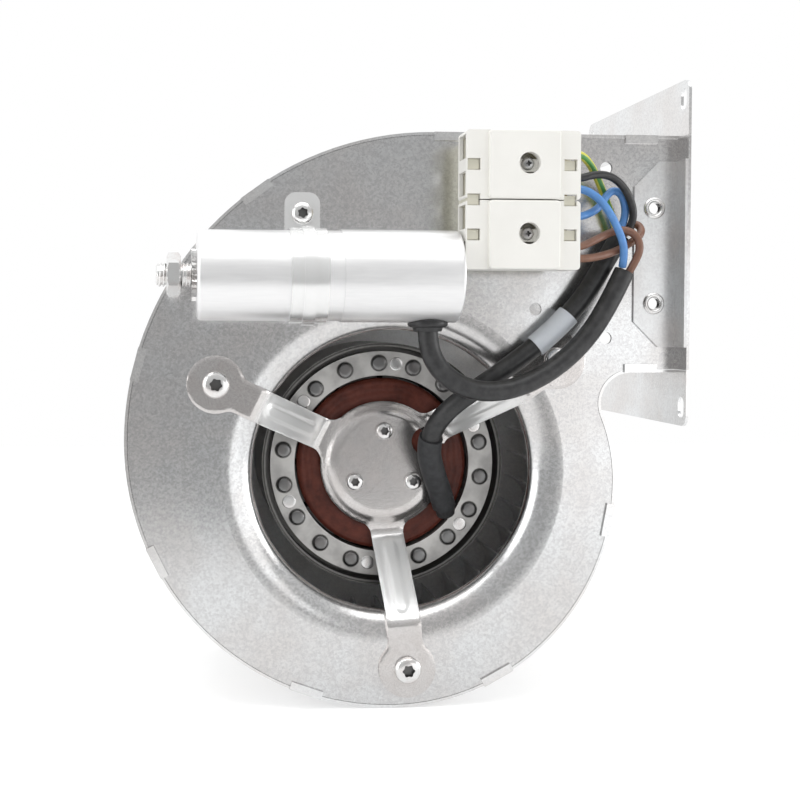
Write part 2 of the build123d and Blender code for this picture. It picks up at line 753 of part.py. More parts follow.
foot_length = clamp_foot_top - capacitor_z
foot_edge = -capacitor_depth
with BuildPart() as capacitor_clamp:
    with BuildSketch(across_can(clamp_x)):
        Circle(clamp_r)
        with Locations((foot_edge, 0)):
            Rectangle(2 * clamp_sheet, foot_length, align=(Align.MAX, Align.MIN))
        with Locations((foot_edge, 0)):
            Rectangle(2 * clamp_sheet, clamp_r / 3, align=(Align.MAX, Align.MIN), mode=Mode.SUBTRACT)
        Circle(clamp_r)
        Circle(can_r + snug, mode=Mode.SUBTRACT)
    extrude(amount=clamp_width / 2, both=True)
    with BuildSketch(across_can(clamp_x)):
        Circle(clamp_r + clamp_bead_height)
        Circle(can_r + clamp_sheet, mode=Mode.SUBTRACT)
        with Locations((clamp_r / 3, 0)):
            Rectangle(2 * clamp_r, 3 * clamp_r, align=(Align.MIN, Align.CENTER), mode=Mode.SUBTRACT)
    extrude(amount=clamp_bead_width / 2, both=True)
    top_corners = capacitor_clamp.edges().filter_by(Axis.Y).sort_by(Axis.Z)[-2:]
    fillet(top_corners, clamp_tab_r)
    with BuildSketch(facing(0)):
        with Locations((clamp_x, clamp_screw_z)):
            Circle(clamp_screw_size[0] + hole_clearance)
    extrude(amount=2 * clamp_sheet, mode=Mode.SUBTRACT)
keep(capacitor_clamp.part, "capacitor_clamp")

clamp_screw_place = ((clamp_x, clamp_screw_z),)
screw("clamp_screw", clamp_screw_place, -2 * clamp_sheet, clamp_screw_size, clamp_screw_tip)
nuts("clamp_nut", clamp_screw_place, sheet, clamp_nut_flat, clamp_nut_height, clamp_screw_size[0])

# Terminal blocks: one base with a tray and latch posts, and two snap covers, each held by a screw

seam_z = block_top - block_height - cover_seam / 2
base_bottom = block_top - 2 * block_height - cover_seam + base_end_inset
cover_tops = (block_top, block_top - block_height - cover_seam)
latch_heights = (cover_tops[0] - window_drop, seam_z, cover_tops[1] - window_drop)
latch_places = [(x, z) for x in (window_left, window_right) for z in latch_heights]
cover_screw_places = [(cover_screw_x, top - cover_screw_drop) for top in cover_tops]
base_left, base_right = block_left + base_left_inset, block_right - base_right_inset
base_middle_z = (base_bottom + block_top - base_end_inset) / 2
base_height = block_top - base_end_inset - base_bottom
tray_left = block_left + cover_wall + cover_play
tray_right = block_right - cover_wall - cover_play
tray_low = cover_tops[1] - block_height + cover_wall + cover_play
tray_high = block_top - cover_wall - cover_play

with BuildPart() as terminal_base:
    with BuildSketch(facing(0)):
        with Locations(((base_left + base_right) / 2, base_middle_z)):
            Rectangle(base_right - base_left, base_height)
    extrude(amount=cover_back)
    fillet(terminal_base.edges().filter_by(Axis.Y), cover_corner_r)
    with BuildSketch(facing(-cover_back)):
        with Locations(((tray_left + tray_right) / 2, (tray_low + tray_high) / 2)):
            Rectangle(tray_right - tray_left, tray_high - tray_low)
        with Locations((cover_screw_x, seam_z)):
            Rectangle(2 * block_right, 2 * (cover_wall + cover_play) + cover_seam, mode=Mode.SUBTRACT)
        with Locations(*cover_screw_places):
            Circle(cover_boss_r + cover_play, mode=Mode.SUBTRACT)
    extrude(amount=tray)
    with BuildSketch(facing(-cover_back)):
        with Locations(*latch_places):
            Rectangle(window_width - latch_play, window_height - latch_play)
    extrude(amount=latch_front - cover_back)
    with BuildSketch(facing(-cover_back)):
        with Locations(*cover_screw_places):
            Circle(cover_screw[0] + snug)
    extrude(amount=-(cover_screw_bite + snug), mode=Mode.SUBTRACT)
keep(terminal_base.part, "terminal_base")

screw_seat = -(cover_front - counterbore_depth)
side_window_drops = (side_window_drop, side_window_drop + side_window_pitch)
side_window_depth = wing_front - cover_back - side_window_low - cover_wall
for label, top, screw_place in (
    ("upper_terminal_cover", cover_tops[0], cover_screw_places[0]),
    ("lower_terminal_cover", cover_tops[1], cover_screw_places[1]),
):
    cover_middle_x, cover_middle_z = (block_left + block_right) / 2, top - block_height / 2
    with BuildPart() as cover:
        with BuildSketch(facing(-cover_back)):
            with Locations((cover_middle_x, cover_middle_z)):
                Rectangle(block_right - block_left, block_height)
        extrude(amount=wing_front - cover_back)
        with BuildSketch(facing(-wing_front)):
            with Locations(((middle_left + middle_right) / 2, cover_middle_z)):
                Rectangle(middle_right - middle_left, block_height)
        extrude(amount=cover_front - wing_front)
        fillet(cover.edges().filter_by(Axis.Y), cover_corner_r)
        fillet(cover.faces().filter_by(Plane.XZ).sort_by(Axis.Y)[0].edges(), cover_corner_r / 2)
        with BuildSketch(facing(-cover_back)):
            with Locations((cover_middle_x, cover_middle_z)):
                Rectangle(block_right - block_left - 2 * cover_wall, block_height - 2 * cover_wall)
        extrude(amount=wing_front - cover_back - cover_wall, mode=Mode.SUBTRACT)
        with BuildSketch(facing(-cover_back)):
            with Locations(screw_place):
                Circle(cover_boss_r)
        extrude(amount=wing_front - cover_back)
        with BuildSketch(facing(screw_seat)):
            with Locations(screw_place):
                Circle(counterbore_r)
        extrude(amount=counterbore_depth, mode=Mode.SUBTRACT)
        with BuildSketch(facing(-cover_back)):
            with Locations(screw_place):
                Circle(cover_screw[0] + hole_clearance)
            with Locations(*latch_places):
                Rectangle(window_width, window_height)
        extrude(amount=cover_front - cover_back, mode=Mode.SUBTRACT)
        with BuildSketch(Plane(at(block_left, top, -cover_back), x_dir=(0, 1, 0), z_dir=(1, 0, 0))):
            with Locations(*[(-side_window_low, -drop) for drop in side_window_drops]):
                Rectangle(side_window_depth, side_window_height, align=(Align.MAX, Align.CENTER))
        extrude(amount=block_right - block_left, mode=Mode.SUBTRACT)
    keep(cover.part, label)
with BuildPart() as terminal_clamps:
    with BuildSketch(facing(-(cover_back + tray))):
        with Locations(*[(wire_clamp_right, top - drop) for top in cover_tops for drop in side_window_drops]):
            Rectangle(wire_clamp_length, wire_clamp_height, align=(Align.MAX, Align.CENTER))
    extrude(amount=wire_clamp_height)
    fillet(terminal_clamps.edges().filter_by(Axis.X), cover_corner_r)
keep(terminal_clamps.part, "terminal_clamps")

screw("terminal_screws", cover_screw_places, screw_seat, cover_screw, -(cover_back - cover_screw_bite))

# Leads and wires: straight runs joined by tangent arcs, through points given from the fan's axis


def route_through(points):
    """The smooth path through these points, with the radius of each of its bends."""
    spots = [at(*point) for point in points]
    runs = [after - before for before, after in zip(spots, spots[1:])]
    bends = []
    for before, after in zip(runs, runs[1:]):
        half_turn = radians(before.get_angle(after)) / 2
        bends.append(corner_bite * min(before.length, after.length) / tan(half_turn))
    with BuildLine() as path:
        FilletPolyline(*spots, radius=bends)
    return path.wires()[0], bends


def tube_along(path, radius, bore=0.0):
    """A round tube or rod along a path."""
    with BuildPart() as tube:
        with BuildSketch(Plane(path.position_at(0), z_dir=path.tangent_at(0))):
            Circle(radius)
            if bore:
                Circle(bore, mode=Mode.SUBTRACT)
        sweep(path=path)
    return tube.part


def cord(label, radius, points):
    """A lead or wire, which reports its bends and how its volume compares with section times length."""
    path, bends = route_through(points)
    tube = tube_along(path, radius)
    section_volume = pi * radius**2 * path.length
    print(label, "length", round(path.length, 1), "smallest radius", round(min(bends), 1))
    print("  radii", [round(bend, 1) for bend in bends], "volume ratio", round(tube.volume / section_volume, 4))
    keep(tube, label)
    return path


motor_lead_points = (
    (23.6, -18.4, 23.3), (21.2, -11.2, 19.5), (17.0, -2.7, 14.0), (13.6, 6.6, 8.0), (14.6, 15.6, 2.4),
    (19.7, 22.9, -2.2), (27.9, 29.1, -4.8), (38.1, 36.4, -5.9), (49.3, 44.8, -6.3), (59.1, 53.9, -6.8),
    (66.9, 63.6, -7.2), (73.0, 73.9, -7.0), (78.3, 83.0, -7.0),
)
capacitor_lead_points = (
    (8.3, 53.4, -16.3), (8.3, 45.6, -16.3), (10.9, 38.3, -16.3), (17.2, 32.0, -15.8), (27.0, 28.6, -15.2),
    (39.1, 29.7, -14.4), (51.1, 35.2, -13.6), (62.5, 44.5, -13.0), (71.4, 56.9, -13.0), (77.8, 70.4, -13.0),
)
wires = {
    "earth_wire": (
        (54.5, 110.2, -19.0), (59.6, 110.0, -19.0), (64.2, 107.6, -15.0), (68.0, 103.9, -10.9),
        (71.4, 99.4, -7.6), (73.8, 94.6, -6.0), (75.9, 89.9, -5.6), (77.6, 84.8, -5.6),
    ),
    "black_wire": (
        (54.5, 101.2, -19.0), (60.0, 101.4, -19.0), (65.0, 103.0, -17.4), (70.6, 103.3, -15.4),
        (75.6, 101.1, -13.5), (79.4, 97.0, -12.0), (81.7, 92.0, -10.6), (81.9, 87.4, -9.4),
        (80.2, 83.5, -8.4),
    ),
    "blue_wire_1": (
        (54.5, 98.2, -19.0), (59.8, 98.3, -19.0), (65.3, 95.8, -19.2), (69.8, 91.0, -18.8),
        (73.0, 85.7, -18.2), (75.6, 80.6, -17.2), (76.9, 76.2, -15.4), (77.0, 72.0, -13.2),
    ),
    "blue_wire_2": (
        (54.5, 88.2, -19.0), (59.6, 88.4, -18.8), (64.6, 90.0, -16.0), (68.9, 92.6, -13.4),
        (71.4, 96.2, -11.4), (74.6, 98.8, -10.2), (78.1, 97.2, -9.2), (79.7, 92.7, -8.4),
        (79.4, 88.2, -8.1), (77.7, 84.6, -8.4),
    ),
    "brown_wire_1": (
        (54.5, 77.9, -19.0), (60.0, 78.1, -19.0), (65.4, 80.6, -17.6), (71.0, 83.2, -14.9),
        (76.6, 84.9, -13.4), (81.0, 83.4, -14.0), (82.8, 79.2, -14.8), (81.8, 74.6, -14.2),
        (79.4, 70.1, -13.0),
    ),
    "brown_wire_2": (
        (54.5, 74.4, -19.0), (60.2, 74.2, -19.0), (65.4, 74.8, -17.2), (70.8, 76.0, -14.9),
        (76.0, 77.8, -12.5), (80.4, 80.2, -11.2), (84.0, 82.6, -10.2), (85.7, 85.0, -8.2),
        (84.9, 87.2, -6.3), (82.8, 87.2, -5.0), (81.2, 85.4, -4.8), (80.2, 83.4, -5.6),
    ),
}
motor_route = cord("motor_lead", lead_r, motor_lead_points)
cord("capacitor_lead", lead_r, capacitor_lead_points)
for label, points in wires.items():
    cord(label, wire_r, points)

# The boot where the motor lead leaves the motor, and the clear sleeve further along

route_edges = motor_route.edges()
keep(tube_along(Wire(route_edges[1:6]), boot_r, lead_r + snug), "motor_lead_boot")
keep(tube_along(Wire(route_edges[15:18]), sleeve_r, lead_r + snug), "lead_sleeve")
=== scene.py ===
from math import atan2, ceil, cos, hypot, pi, radians, sin, sqrt, tau

import bmesh
import bpy
from mathutils import Matrix, Vector
from mathutils.geometry import delaunay_2d_cdt


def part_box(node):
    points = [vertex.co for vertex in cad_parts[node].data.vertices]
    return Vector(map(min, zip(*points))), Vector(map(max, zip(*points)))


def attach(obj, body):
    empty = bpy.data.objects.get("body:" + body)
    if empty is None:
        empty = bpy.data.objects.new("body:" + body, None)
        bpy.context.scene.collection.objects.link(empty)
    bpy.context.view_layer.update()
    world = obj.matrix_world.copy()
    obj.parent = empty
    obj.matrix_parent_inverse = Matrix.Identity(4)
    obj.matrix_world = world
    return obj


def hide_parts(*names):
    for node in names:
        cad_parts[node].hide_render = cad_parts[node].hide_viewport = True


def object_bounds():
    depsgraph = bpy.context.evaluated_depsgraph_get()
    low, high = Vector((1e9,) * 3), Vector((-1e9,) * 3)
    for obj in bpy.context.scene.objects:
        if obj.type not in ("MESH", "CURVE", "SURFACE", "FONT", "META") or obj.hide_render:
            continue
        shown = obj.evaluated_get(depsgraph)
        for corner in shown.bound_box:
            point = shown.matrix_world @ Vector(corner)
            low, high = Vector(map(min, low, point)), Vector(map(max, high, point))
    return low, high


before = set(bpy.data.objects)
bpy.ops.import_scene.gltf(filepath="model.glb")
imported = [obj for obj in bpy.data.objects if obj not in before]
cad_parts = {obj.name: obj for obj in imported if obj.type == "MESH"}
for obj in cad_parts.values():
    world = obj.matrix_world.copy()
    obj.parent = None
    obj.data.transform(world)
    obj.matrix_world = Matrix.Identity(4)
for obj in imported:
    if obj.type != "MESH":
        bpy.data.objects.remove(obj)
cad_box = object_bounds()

# The photographer's place: in front of the inlet, a little left of the fan's axis and above it,
# looking slightly down and to the right, so that the left faces of the flange and terminals show.
scene = bpy.context.scene
scene.view_settings.view_transform = "Standard"
eye_place = Vector((-0.17976, -0.47778, -0.02516))
eye_turn, eye_tilt, eye_roll = radians(4.835), radians(-1.304), radians(0.193)
eye = bpy.data.objects.new("eye", bpy.data.cameras.new("eye"))
scene.collection.objects.link(eye)
eye.data.sensor_width = 36
eye.data.lens = 56.34
eye.data.shift_x = 0.15
eye.data.shift_y = -0.06
eye.data.clip_start = 0.01
eye.matrix_world = (
    Matrix.Translation(eye_place)
    @ Matrix.Rotation(-eye_turn, 4, "Z")
    @ Matrix.Rotation(pi / 2 + eye_tilt, 4, "X")
    @ Matrix.Rotation(eye_roll, 4, "Z")
)
scene.camera = eye


# The studio: a pale sheet of paper under the fan and behind it, a white room at its back and a greyer one
# behind the camera, and soft boxes overhead, low at the right and far round on both sides, which the sheet
# metal mirrors. Paper and walls are node trees, wired up by these three classes, as every finish is.
class Wire:
    """A node's output, in any kind of node tree, on which Python's arithmetic works."""

    def __init__(self, nodes, output):
        self.nodes, self.output = nodes, output

    def other(self, name):
        """Another output of the same node."""
        return Wire(self.nodes, self.output.node.outputs[name])

    def maths(self, operation, *terms):
        return self.nodes.add("ShaderNodeMath", {"operation": operation}, dict(enumerate(terms)))

    def __add__(self, term):
        return self.maths("ADD", self, term)

    def __sub__(self, term):
        return self.maths("SUBTRACT", self, term)

    def __rsub__(self, term):
        return self.maths("SUBTRACT", term, self)

    def __mul__(self, term):
        return self.maths("MULTIPLY", self, term)

    def __truediv__(self, term):
        return self.maths("DIVIDE", self, term)

    def __pow__(self, term):
        return self.maths("POWER", self, term)

    __radd__, __rmul__ = __add__, __mul__


class Nodes:
    """A node tree while it is wired up: a material's, the world's or a modifier's."""

    def __init__(self, tree):
        self.tree = tree
        tree.nodes.clear()

    def add(self, kind, settings=None, sockets=None, out=0):
        """Adds a node, with its settings made before its sockets are filled, and gives one output."""
        node = self.tree.nodes.new(kind)
        for name, value in (settings or {}).items():
            setattr(node, name, value)
        for name, value in (sockets or {}).items():
            if isinstance(value, list) and isinstance(value[0], Wire):
                for wire in value:
                    self.tree.links.new(wire.output, node.inputs[name])
            elif isinstance(value, Wire):
                self.tree.links.new(value.output, node.inputs[name])
            else:
                node.inputs[name].default_value = value
        return Wire(self, node.outputs[out]) if len(node.outputs) else None


class Finish(Nodes):
    """A material on one Principled surface, patterned on Object coordinates."""

    def __init__(self, name):
        self.material = bpy.data.materials.new(name)
        self.material.use_nodes = True
        super().__init__(self.material.node_tree)
        self.place = self.add("ShaderNodeTexCoord", out="Object")

    def noise(self, size, detail=3.0, stretch=(1, 1, 1)):
        """Cloudy noise about 0.5, with lumps of this size, stretched along an axis."""
        squeezed = self.add(
            "ShaderNodeMapping", {}, {"Vector": self.place, "Scale": [1 / part for part in stretch]}
        )
        sockets = {"Vector": squeezed, "Scale": 1 / size, "Detail": detail, "Roughness": 0.55}
        return self.add("ShaderNodeTexNoise", {}, sockets)

    def smooth(self, value, low, high):
        """0 below low, 1 above high, with a soft step between."""
        sockets = {"Value": value, "From Min": low, "From Max": high}
        return self.add("ShaderNodeMapRange", {"interpolation_type": "SMOOTHSTEP"}, sockets)

    def blend(self, share, first, second):
        """The first colour, changing to the second as share goes from 0 to 1."""
        first, second = [tone if isinstance(tone, Wire) else (*tone, 1) for tone in (first, second)]
        return self.add("ShaderNodeMix", {"data_type": "RGBA"}, {0: share, 6: first, 7: second}, out=2)

    def bumps(self, height, depth, strength=1.0):
        return self.add("ShaderNodeBump", {}, {"Height": height, "Distance": depth, "Strength": strength})

    def from_axis(self):
        """A spot's place from the fan's axis."""
        shift = {"Vector": self.place, "Location": (-fan_x, -plate_front, -fan_z)}
        return self.add("ShaderNodeMapping", {}, shift)

    def ring_radius(self):
        """How far a spot is from the fan's axis."""
        spread = self.add("ShaderNodeSeparateXYZ", {}, {"Vector": self.from_axis()})
        return (spread**2 + spread.other("Z") ** 2) ** 0.5

    def surface(self, **sockets):
        """Closes the material; socket names are given with underscores for spaces."""
        named = {name.replace("_", " "): value for name, value in sockets.items()}
        shine = self.add("ShaderNodeBsdfPrincipled", {}, named)
        self.add("ShaderNodeOutputMaterial", {}, {"Surface": shine})
        return self.material


mm = 0.001
floor_z = cad_box[0].z - 0.2 * mm
paper_near, paper_far, paper_half = -0.42, 0.9, 1.6
near_corners = [(-paper_half, paper_near, floor_z), (paper_half, paper_near, floor_z)]
far_corners = [(paper_half, paper_far, floor_z), (-paper_half, paper_far, floor_z)]
floor_mesh = bpy.data.meshes.new("floor")
floor_mesh.from_pydata(near_corners + far_corners, [], [(0, 1, 2, 3)])
floor = bpy.data.objects.new("floor", floor_mesh)
scene.collection.objects.link(floor)

paper = Finish("white_paper")
mirrored_share, paper_glow = 0.45, 0.44
rays = paper.add("ShaderNodeLightPath", out="Is Camera Ray")
seen = paper.add(
    "ShaderNodeMath",
    {"operation": "ADD", "use_clamp": True},
    {0: rays, 1: (rays.other("Is Glossy Ray") + rays.other("Is Transmission Ray")) * mirrored_share},
)
fibres = paper.noise(6 * mm, detail=4)
paper_white = paper.blend(fibres, (0.78, 0.78, 0.78), (0.8, 0.8, 0.8))
lit = paper.add("ShaderNodeBsdfDiffuse", {}, {"Color": paper_white})
glow = paper.add("ShaderNodeEmission", {}, {"Color": (1, 1, 1, 1), "Strength": paper_glow})
paler = paper.add("ShaderNodeAddShader", {}, {0: lit, 1: glow})
as_seen = paper.add("ShaderNodeMixShader", {}, {0: seen, 1: lit, 2: paler})
paper.add("ShaderNodeOutputMaterial", {}, {"Surface": as_seen})
floor_mesh.materials.append(paper.material)

scene.world = bpy.data.worlds.new("room")
scene.world.use_nodes = True
room = Nodes(scene.world.node_tree)
heading = room.add("ShaderNodeSeparateXYZ", {}, {"Vector": room.add("ShaderNodeTexCoord", out="Generated")})
behind_fan = room.add(
    "ShaderNodeMapRange",
    {"interpolation_type": "SMOOTHSTEP"},
    {"Value": heading.other("Y"), "From Min": -0.25, "From Max": 0.25},
)
rays = room.add("ShaderNodeLightPath", out="Is Camera Ray")
mirrored = rays.other("Is Glossy Ray") + rays.other("Is Transmission Ray")
white = room.add(
    "ShaderNodeMath", {"operation": "ADD", "use_clamp": True}, {0: rays, 1: mirrored * behind_fan}
)
room_grey, room_rise, room_fill = 0.45, 0.35, 0.62
in_mirrors = heading.other("Z") * room_rise + room_grey
unseen = room.add("ShaderNodeMix", {"data_type": "FLOAT"}, {0: mirrored, 2: room_fill, 3: in_mirrors})
level = room.add("ShaderNodeMix", {"data_type": "FLOAT"}, {0: white, 2: unseen, 3: 1.0})
walls = room.add("ShaderNodeBackground", {}, {"Color": (1, 1, 1, 1), "Strength": level})
room.add("ShaderNodeOutputWorld", {}, {"Surface": walls})


def soft_box(name, place, width, height, radiance):
    """A rectangular lamp that faces the fan, as bright as its radiance in a mirror."""
    lamp = bpy.data.lights.new(name, "AREA")
    lamp.shape = "RECTANGLE"
    lamp.size, lamp.size_y = width, height
    lamp.energy = radiance * pi * width * height
    box = bpy.data.objects.new(name, lamp)
    scene.collection.objects.link(box)
    facing = (fan_middle - Vector(place)).to_track_quat("-Z", "Y").to_matrix().to_4x4()
    box.matrix_world = Matrix.Translation(place) @ facing


fan_middle = Vector((-0.1, 0.0, -0.05))
soft_box("overhead", (-0.15, -0.25, 0.75), 1.1, 0.8, 1.7)
soft_box("far_right", (0.80, -0.20, -0.02), 0.45, 0.6, 3.2)
soft_box("low_right", (0.43, -0.55, -0.18), 0.84, 0.50, 1.02)
soft_box("far_left", (-0.85, -0.35, 0.05), 0.5, 0.8, 1.7)


# Scroll housing: inlet plate with its drawn bell-mouth, rear plate, wrapper strip with the flange legs, and
# the flange stiffeners. All are blanked and bent from hot-dip galvanised steel sheet, 1 mm thick, and the
# strip's tabs are folded over the plates.
plate_sheet = 1.0 * mm
shaft_low, shaft_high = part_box("shaft")
fan_x, fan_z = (shaft_low.x + shaft_high.x) / 2, (shaft_low.z + shaft_high.z) / 2
plate_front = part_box("bracket_nuts")[0].y - plate_sheet


def at(x, z, depth):
    """A place right of the fan's axis, above it, and behind the inlet plate's front face."""
    return Vector((fan_x + x, plate_front + depth, fan_z + z))


def round_axis(radius, count, start):
    """Places evenly round the fan's axis, as x and z."""
    turns = [start + number * tau / count for number in range(count)]
    return [(radius * cos(turn), radius * sin(turn)) for turn in turns]


def dress(material, *names):
    """Gives these CAD nodes this finish."""
    for name in names:
        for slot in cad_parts[name].material_slots:
            slot.material = material


def galvanised(name, tone=0.76, shine=0.17, grain=1.0, along=(1, 1, 1), metal=1.0):
    """Zinc-coated sheet: small crystals, dull warm clouds from handling, and a fine tooth from the rolls."""
    zinc = Finish(name)
    crystal_size, cloud_size, smear_size, tooth_size = 0.8 * mm, 26 * mm, 1.1 * mm, 0.26 * mm
    cells = {"Vector": zinc.place, "Scale": 1 / crystal_size}
    crystals = zinc.add("ShaderNodeTexVoronoi", {}, cells, out="Color")
    facet = zinc.add("ShaderNodeSeparateColor", {}, {"Color": crystals})
    clouds = zinc.smooth(zinc.noise(cloud_size, detail=5), 0.34, 0.66)
    smears = zinc.noise(smear_size, detail=3, stretch=along)
    tooth = zinc.noise(tooth_size, detail=2)
    cool, warm = (tone * 0.985, tone, tone * 1.005), (tone * 0.93, tone * 0.91, tone * 0.895)
    tint = zinc.blend(clouds, cool, warm)
    speckle = zinc.smooth(tooth * 0.60 + smears * 0.22 + facet * 0.18, 0.37, 0.62)
    colour = zinc.blend((1 - speckle) * 0.62 * grain, tint, (tone * 0.66, tone * 0.65, tone * 0.66))
    rough = shine + clouds * 0.055 + speckle * 0.025 + smears * 0.02
    height = tooth * 0.45 + facet * 0.25 + smears * 0.3
    bump = zinc.bumps(height, 0.004 * mm * grain, 0.9)
    return zinc.surface(Base_Color=colour, Metallic=metal, Roughness=rough, Normal=bump)


dress(galvanised("galvanised_plate"), "inlet_plate", "rear_plate")
dress(galvanised("galvanised_strip", tone=0.88, shine=0.17, grain=0.6, along=(1, 9, 1)), "scroll_strip")
stiffener_steel = galvanised("galvanised_stiffener", tone=0.8, shine=0.28, grain=0.7, along=(1, 1, 6))
dress(stiffener_steel, "front_stiffener", "rear_stiffener")

# Rotor cage: aluminium, die-cast round the rotor core. Its end ring faces the inlet and carries a ring of
# studs, with painted shade in a dark ring round the foot of each.
cast = Finish("cast_cage")
skin = cast.noise(1.1 * mm, detail=4)
stains = cast.smooth(cast.noise(9 * mm, detail=3), 0.35, 0.7)
spread = cast.add("ShaderNodeSeparateXYZ", {}, {"Vector": cast.from_axis()})
turn = cast.add("ShaderNodeMath", {"operation": "ARCTAN2"}, {0: spread.other("Z"), 1: spread})
studs_on_ring, first_stud, stud_ring = 18, radians(12), 37.4 * mm
half_step = pi / studs_on_ring
wrapped = {0: turn - first_stud, 1: half_step, 2: -half_step}
from_stud = cast.add("ShaderNodeMath", {"operation": "WRAP"}, wrapped)
across = cast.ring_radius() * cast.add("ShaderNodeMath", {"operation": "SINE"}, {0: from_stud})
along = cast.ring_radius() * cast.add("ShaderNodeMath", {"operation": "COSINE"}, {0: from_stud}) - stud_ring
# A dark ring round the foot of each stud: painted shade where stud and ring meet.
stud_foot_painted_shade = 1 - cast.smooth((across**2 + along**2) ** 0.5, 2.9 * mm, 3.35 * mm)
cast_colour = cast.blend(stains, (0.64, 0.63, 0.61), (0.44, 0.43, 0.42))
dress(
    cast.surface(
        Base_Color=cast.blend(stud_foot_painted_shade, cast_colour, (0.10, 0.10, 0.097)),
        Metallic=0.85,
        Roughness=0.36 + skin * 0.2,
        Normal=cast.bumps(skin, 0.06 * mm),
    ),
    "rotor_cage",
)

# Rotor cup: deep-drawn steel, pressed over the rotor core and blackened, with the concentric lines that the
# drawing punch leaves. The impeller is riveted to its back.
cup = Finish("blackened_cup")
drawn = cup.noise(1.6 * mm, detail=3, stretch=(1, 5, 1))
line_gap = 1.15 * mm
lines = cup.add("ShaderNodeMath", {"operation": "SINE"}, {0: cup.ring_radius() * (tau / line_gap)})
cup_share = cup.smooth(drawn * 0.5 + lines * 0.25 + 0.25, 0.2, 0.75)
dress(
    cup.surface(
        Base_Color=cup.blend(cup_share, (0.075, 0.073, 0.070), (0.23, 0.225, 0.215)),
        Metallic=0.7,
        Roughness=0.27 + drawn * 0.12,
        Normal=cup.bumps(drawn * 0.4 + lines * 0.3, 0.08 * mm),
    ),
    "rotor_cup",
)

# Rotor and stator cores: stacks of electrical steel sheet, punched and pressed together, whose edges show as
# fine lines round the motor.
leaves = Finish("laminations")
leaf_waves = {"Vector": leaves.place, "Scale": 320.0}
sheets = leaves.add("ShaderNodeTexWave", {"bands_direction": "Y"}, leaf_waves)
leaf_colour = leaves.blend(sheets, (0.17, 0.165, 0.16), (0.30, 0.295, 0.29))
dress(
    leaves.surface(
        Base_Color=leaf_colour,
        Metallic=0.8,
        Roughness=0.45,
        Normal=leaves.bumps(sheets, 0.08 * mm),
    ),
    "rotor_core",
    "stator_core",
)

# Shaft with its circlip and thrust washers: hardened steel, turned and ground. The shaft is fixed in the rotor
# cup, and the circlip keeps it in the bearings.
ground = Finish("ground_steel")
scratches = ground.noise(0.5 * mm, detail=2, stretch=(1, 0.12, 1))
dress(
    ground.surface(
        Base_Color=ground.blend(scratches, (0.55, 0.55, 0.56), (0.68, 0.68, 0.69)),
        Metallic=1.0,
        Roughness=0.16 + scratches * 0.12,
    ),
    "shaft",
    "shaft_circlip",
    "thrust_washers",
)

# Front and rear bearings: sintered bronze sleeves soaked with oil, pressed into the stator flange's tube, with
# a ring of oiled felt between them that feeds both.
bronze = Finish("sintered_bronze")
pores = bronze.noise(0.35 * mm, detail=2)
dress(
    bronze.surface(
        Base_Color=bronze.blend(pores, (0.34, 0.19, 0.09), (0.55, 0.34, 0.17)),
        Metallic=0.9,
        Roughness=0.42,
        Normal=bronze.bumps(pores, 0.03 * mm),
    ),
    "front_bearing",
    "rear_bearing",
)

oiled = Finish("oiled_felt")
hairs = oiled.noise(0.4 * mm, detail=4)
dress(
    oiled.surface(
        Base_Color=oiled.blend(hairs, (0.12, 0.09, 0.06), (0.26, 0.21, 0.15)),
        Roughness=0.95,
        Normal=oiled.bumps(hairs, 0.2 * mm),
    ),
    "felt_ring",
)

# Stator winding and flange: copper wire wound on the core and taped, then dipped together with the die-cast
# flange in a red-brown varnish, which runs round the ring in low ridges.
varnish = Finish("varnished_winding")
wander = varnish.noise(7 * mm, detail=3)
ridge_gap, ridge_sway = 2.1 * mm, 3.5 * mm
ridge_turns = (varnish.ring_radius() + wander * ridge_sway) * (tau / ridge_gap)
ridges = varnish.add("ShaderNodeMath", {"operation": "SINE"}, {0: ridge_turns})
runs = varnish.noise(2.2 * mm, detail=3)
tone = varnish.smooth(wander * 0.6 + runs * 0.4, 0.3, 0.7)
dress(
    varnish.surface(
        Base_Color=varnish.blend(tone, (0.070, 0.014, 0.008), (0.145, 0.034, 0.020)),
        Roughness=0.30 + runs * 0.16,
        Specular_IOR_Level=0.28,
        Normal=varnish.bumps(ridges * 0.22 + runs * 0.5, 0.16 * mm),
    ),
    "stator_winding",
    "stator_flange",
)

# Impeller: forward-curved blades between a back plate and a front ring, pressed from galvanised sheet, given a
# pale, barely metallic tone as painted light in the shaded inside of the housing. Its back plate is riveted to
# the rotor cup.
impeller_steel = galvanised("impeller_sheet", tone=0.96, shine=0.34, grain=0.5, metal=0.1)
dress(impeller_steel, "impeller_backplate", "impeller_blades", "impeller_front_ring")

# Capacitor's can: aluminium, impact-drawn, so that its marks run along it. The area of its label stays bare.
# A P-clamp straps it to the inlet plate.
can = Finish("drawn_aluminium")
marks = can.noise(0.7 * mm, detail=3, stretch=(14, 1, 1))
dents = can.smooth(can.noise(8 * mm, detail=2), 0.4, 0.75)
dress(
    can.surface(
        Base_Color=can.blend(marks, (0.86, 0.86, 0.865), (0.95, 0.95, 0.95)),
        Metallic=0.72,
        Roughness=0.27 + marks * 0.14 + dents * 0.05,
        Normal=can.bumps(marks, 0.005 * mm),
    ),
    "capacitor_can",
)

# Capacitor's end cap: clear plastic over the can's right half, through which the aluminium shows. The lead
# leaves it below, through a grommet.
cap = Finish("clear_cap_over_can")
cap_marks = cap.noise(0.9 * mm, detail=3, stretch=(9, 1, 1))
smudges = cap.smooth(cap.noise(5 * mm, detail=3), 0.45, 0.8)
dress(
    cap.surface(
        Base_Color=cap.blend(cap_marks, (0.82, 0.82, 0.825), (0.93, 0.93, 0.93)),
        Metallic=0.62,
        Roughness=0.28 + cap_marks * 0.10 + smudges * 0.06,
        Coat_Weight=0.5,
    ),
    "capacitor_cap",
)


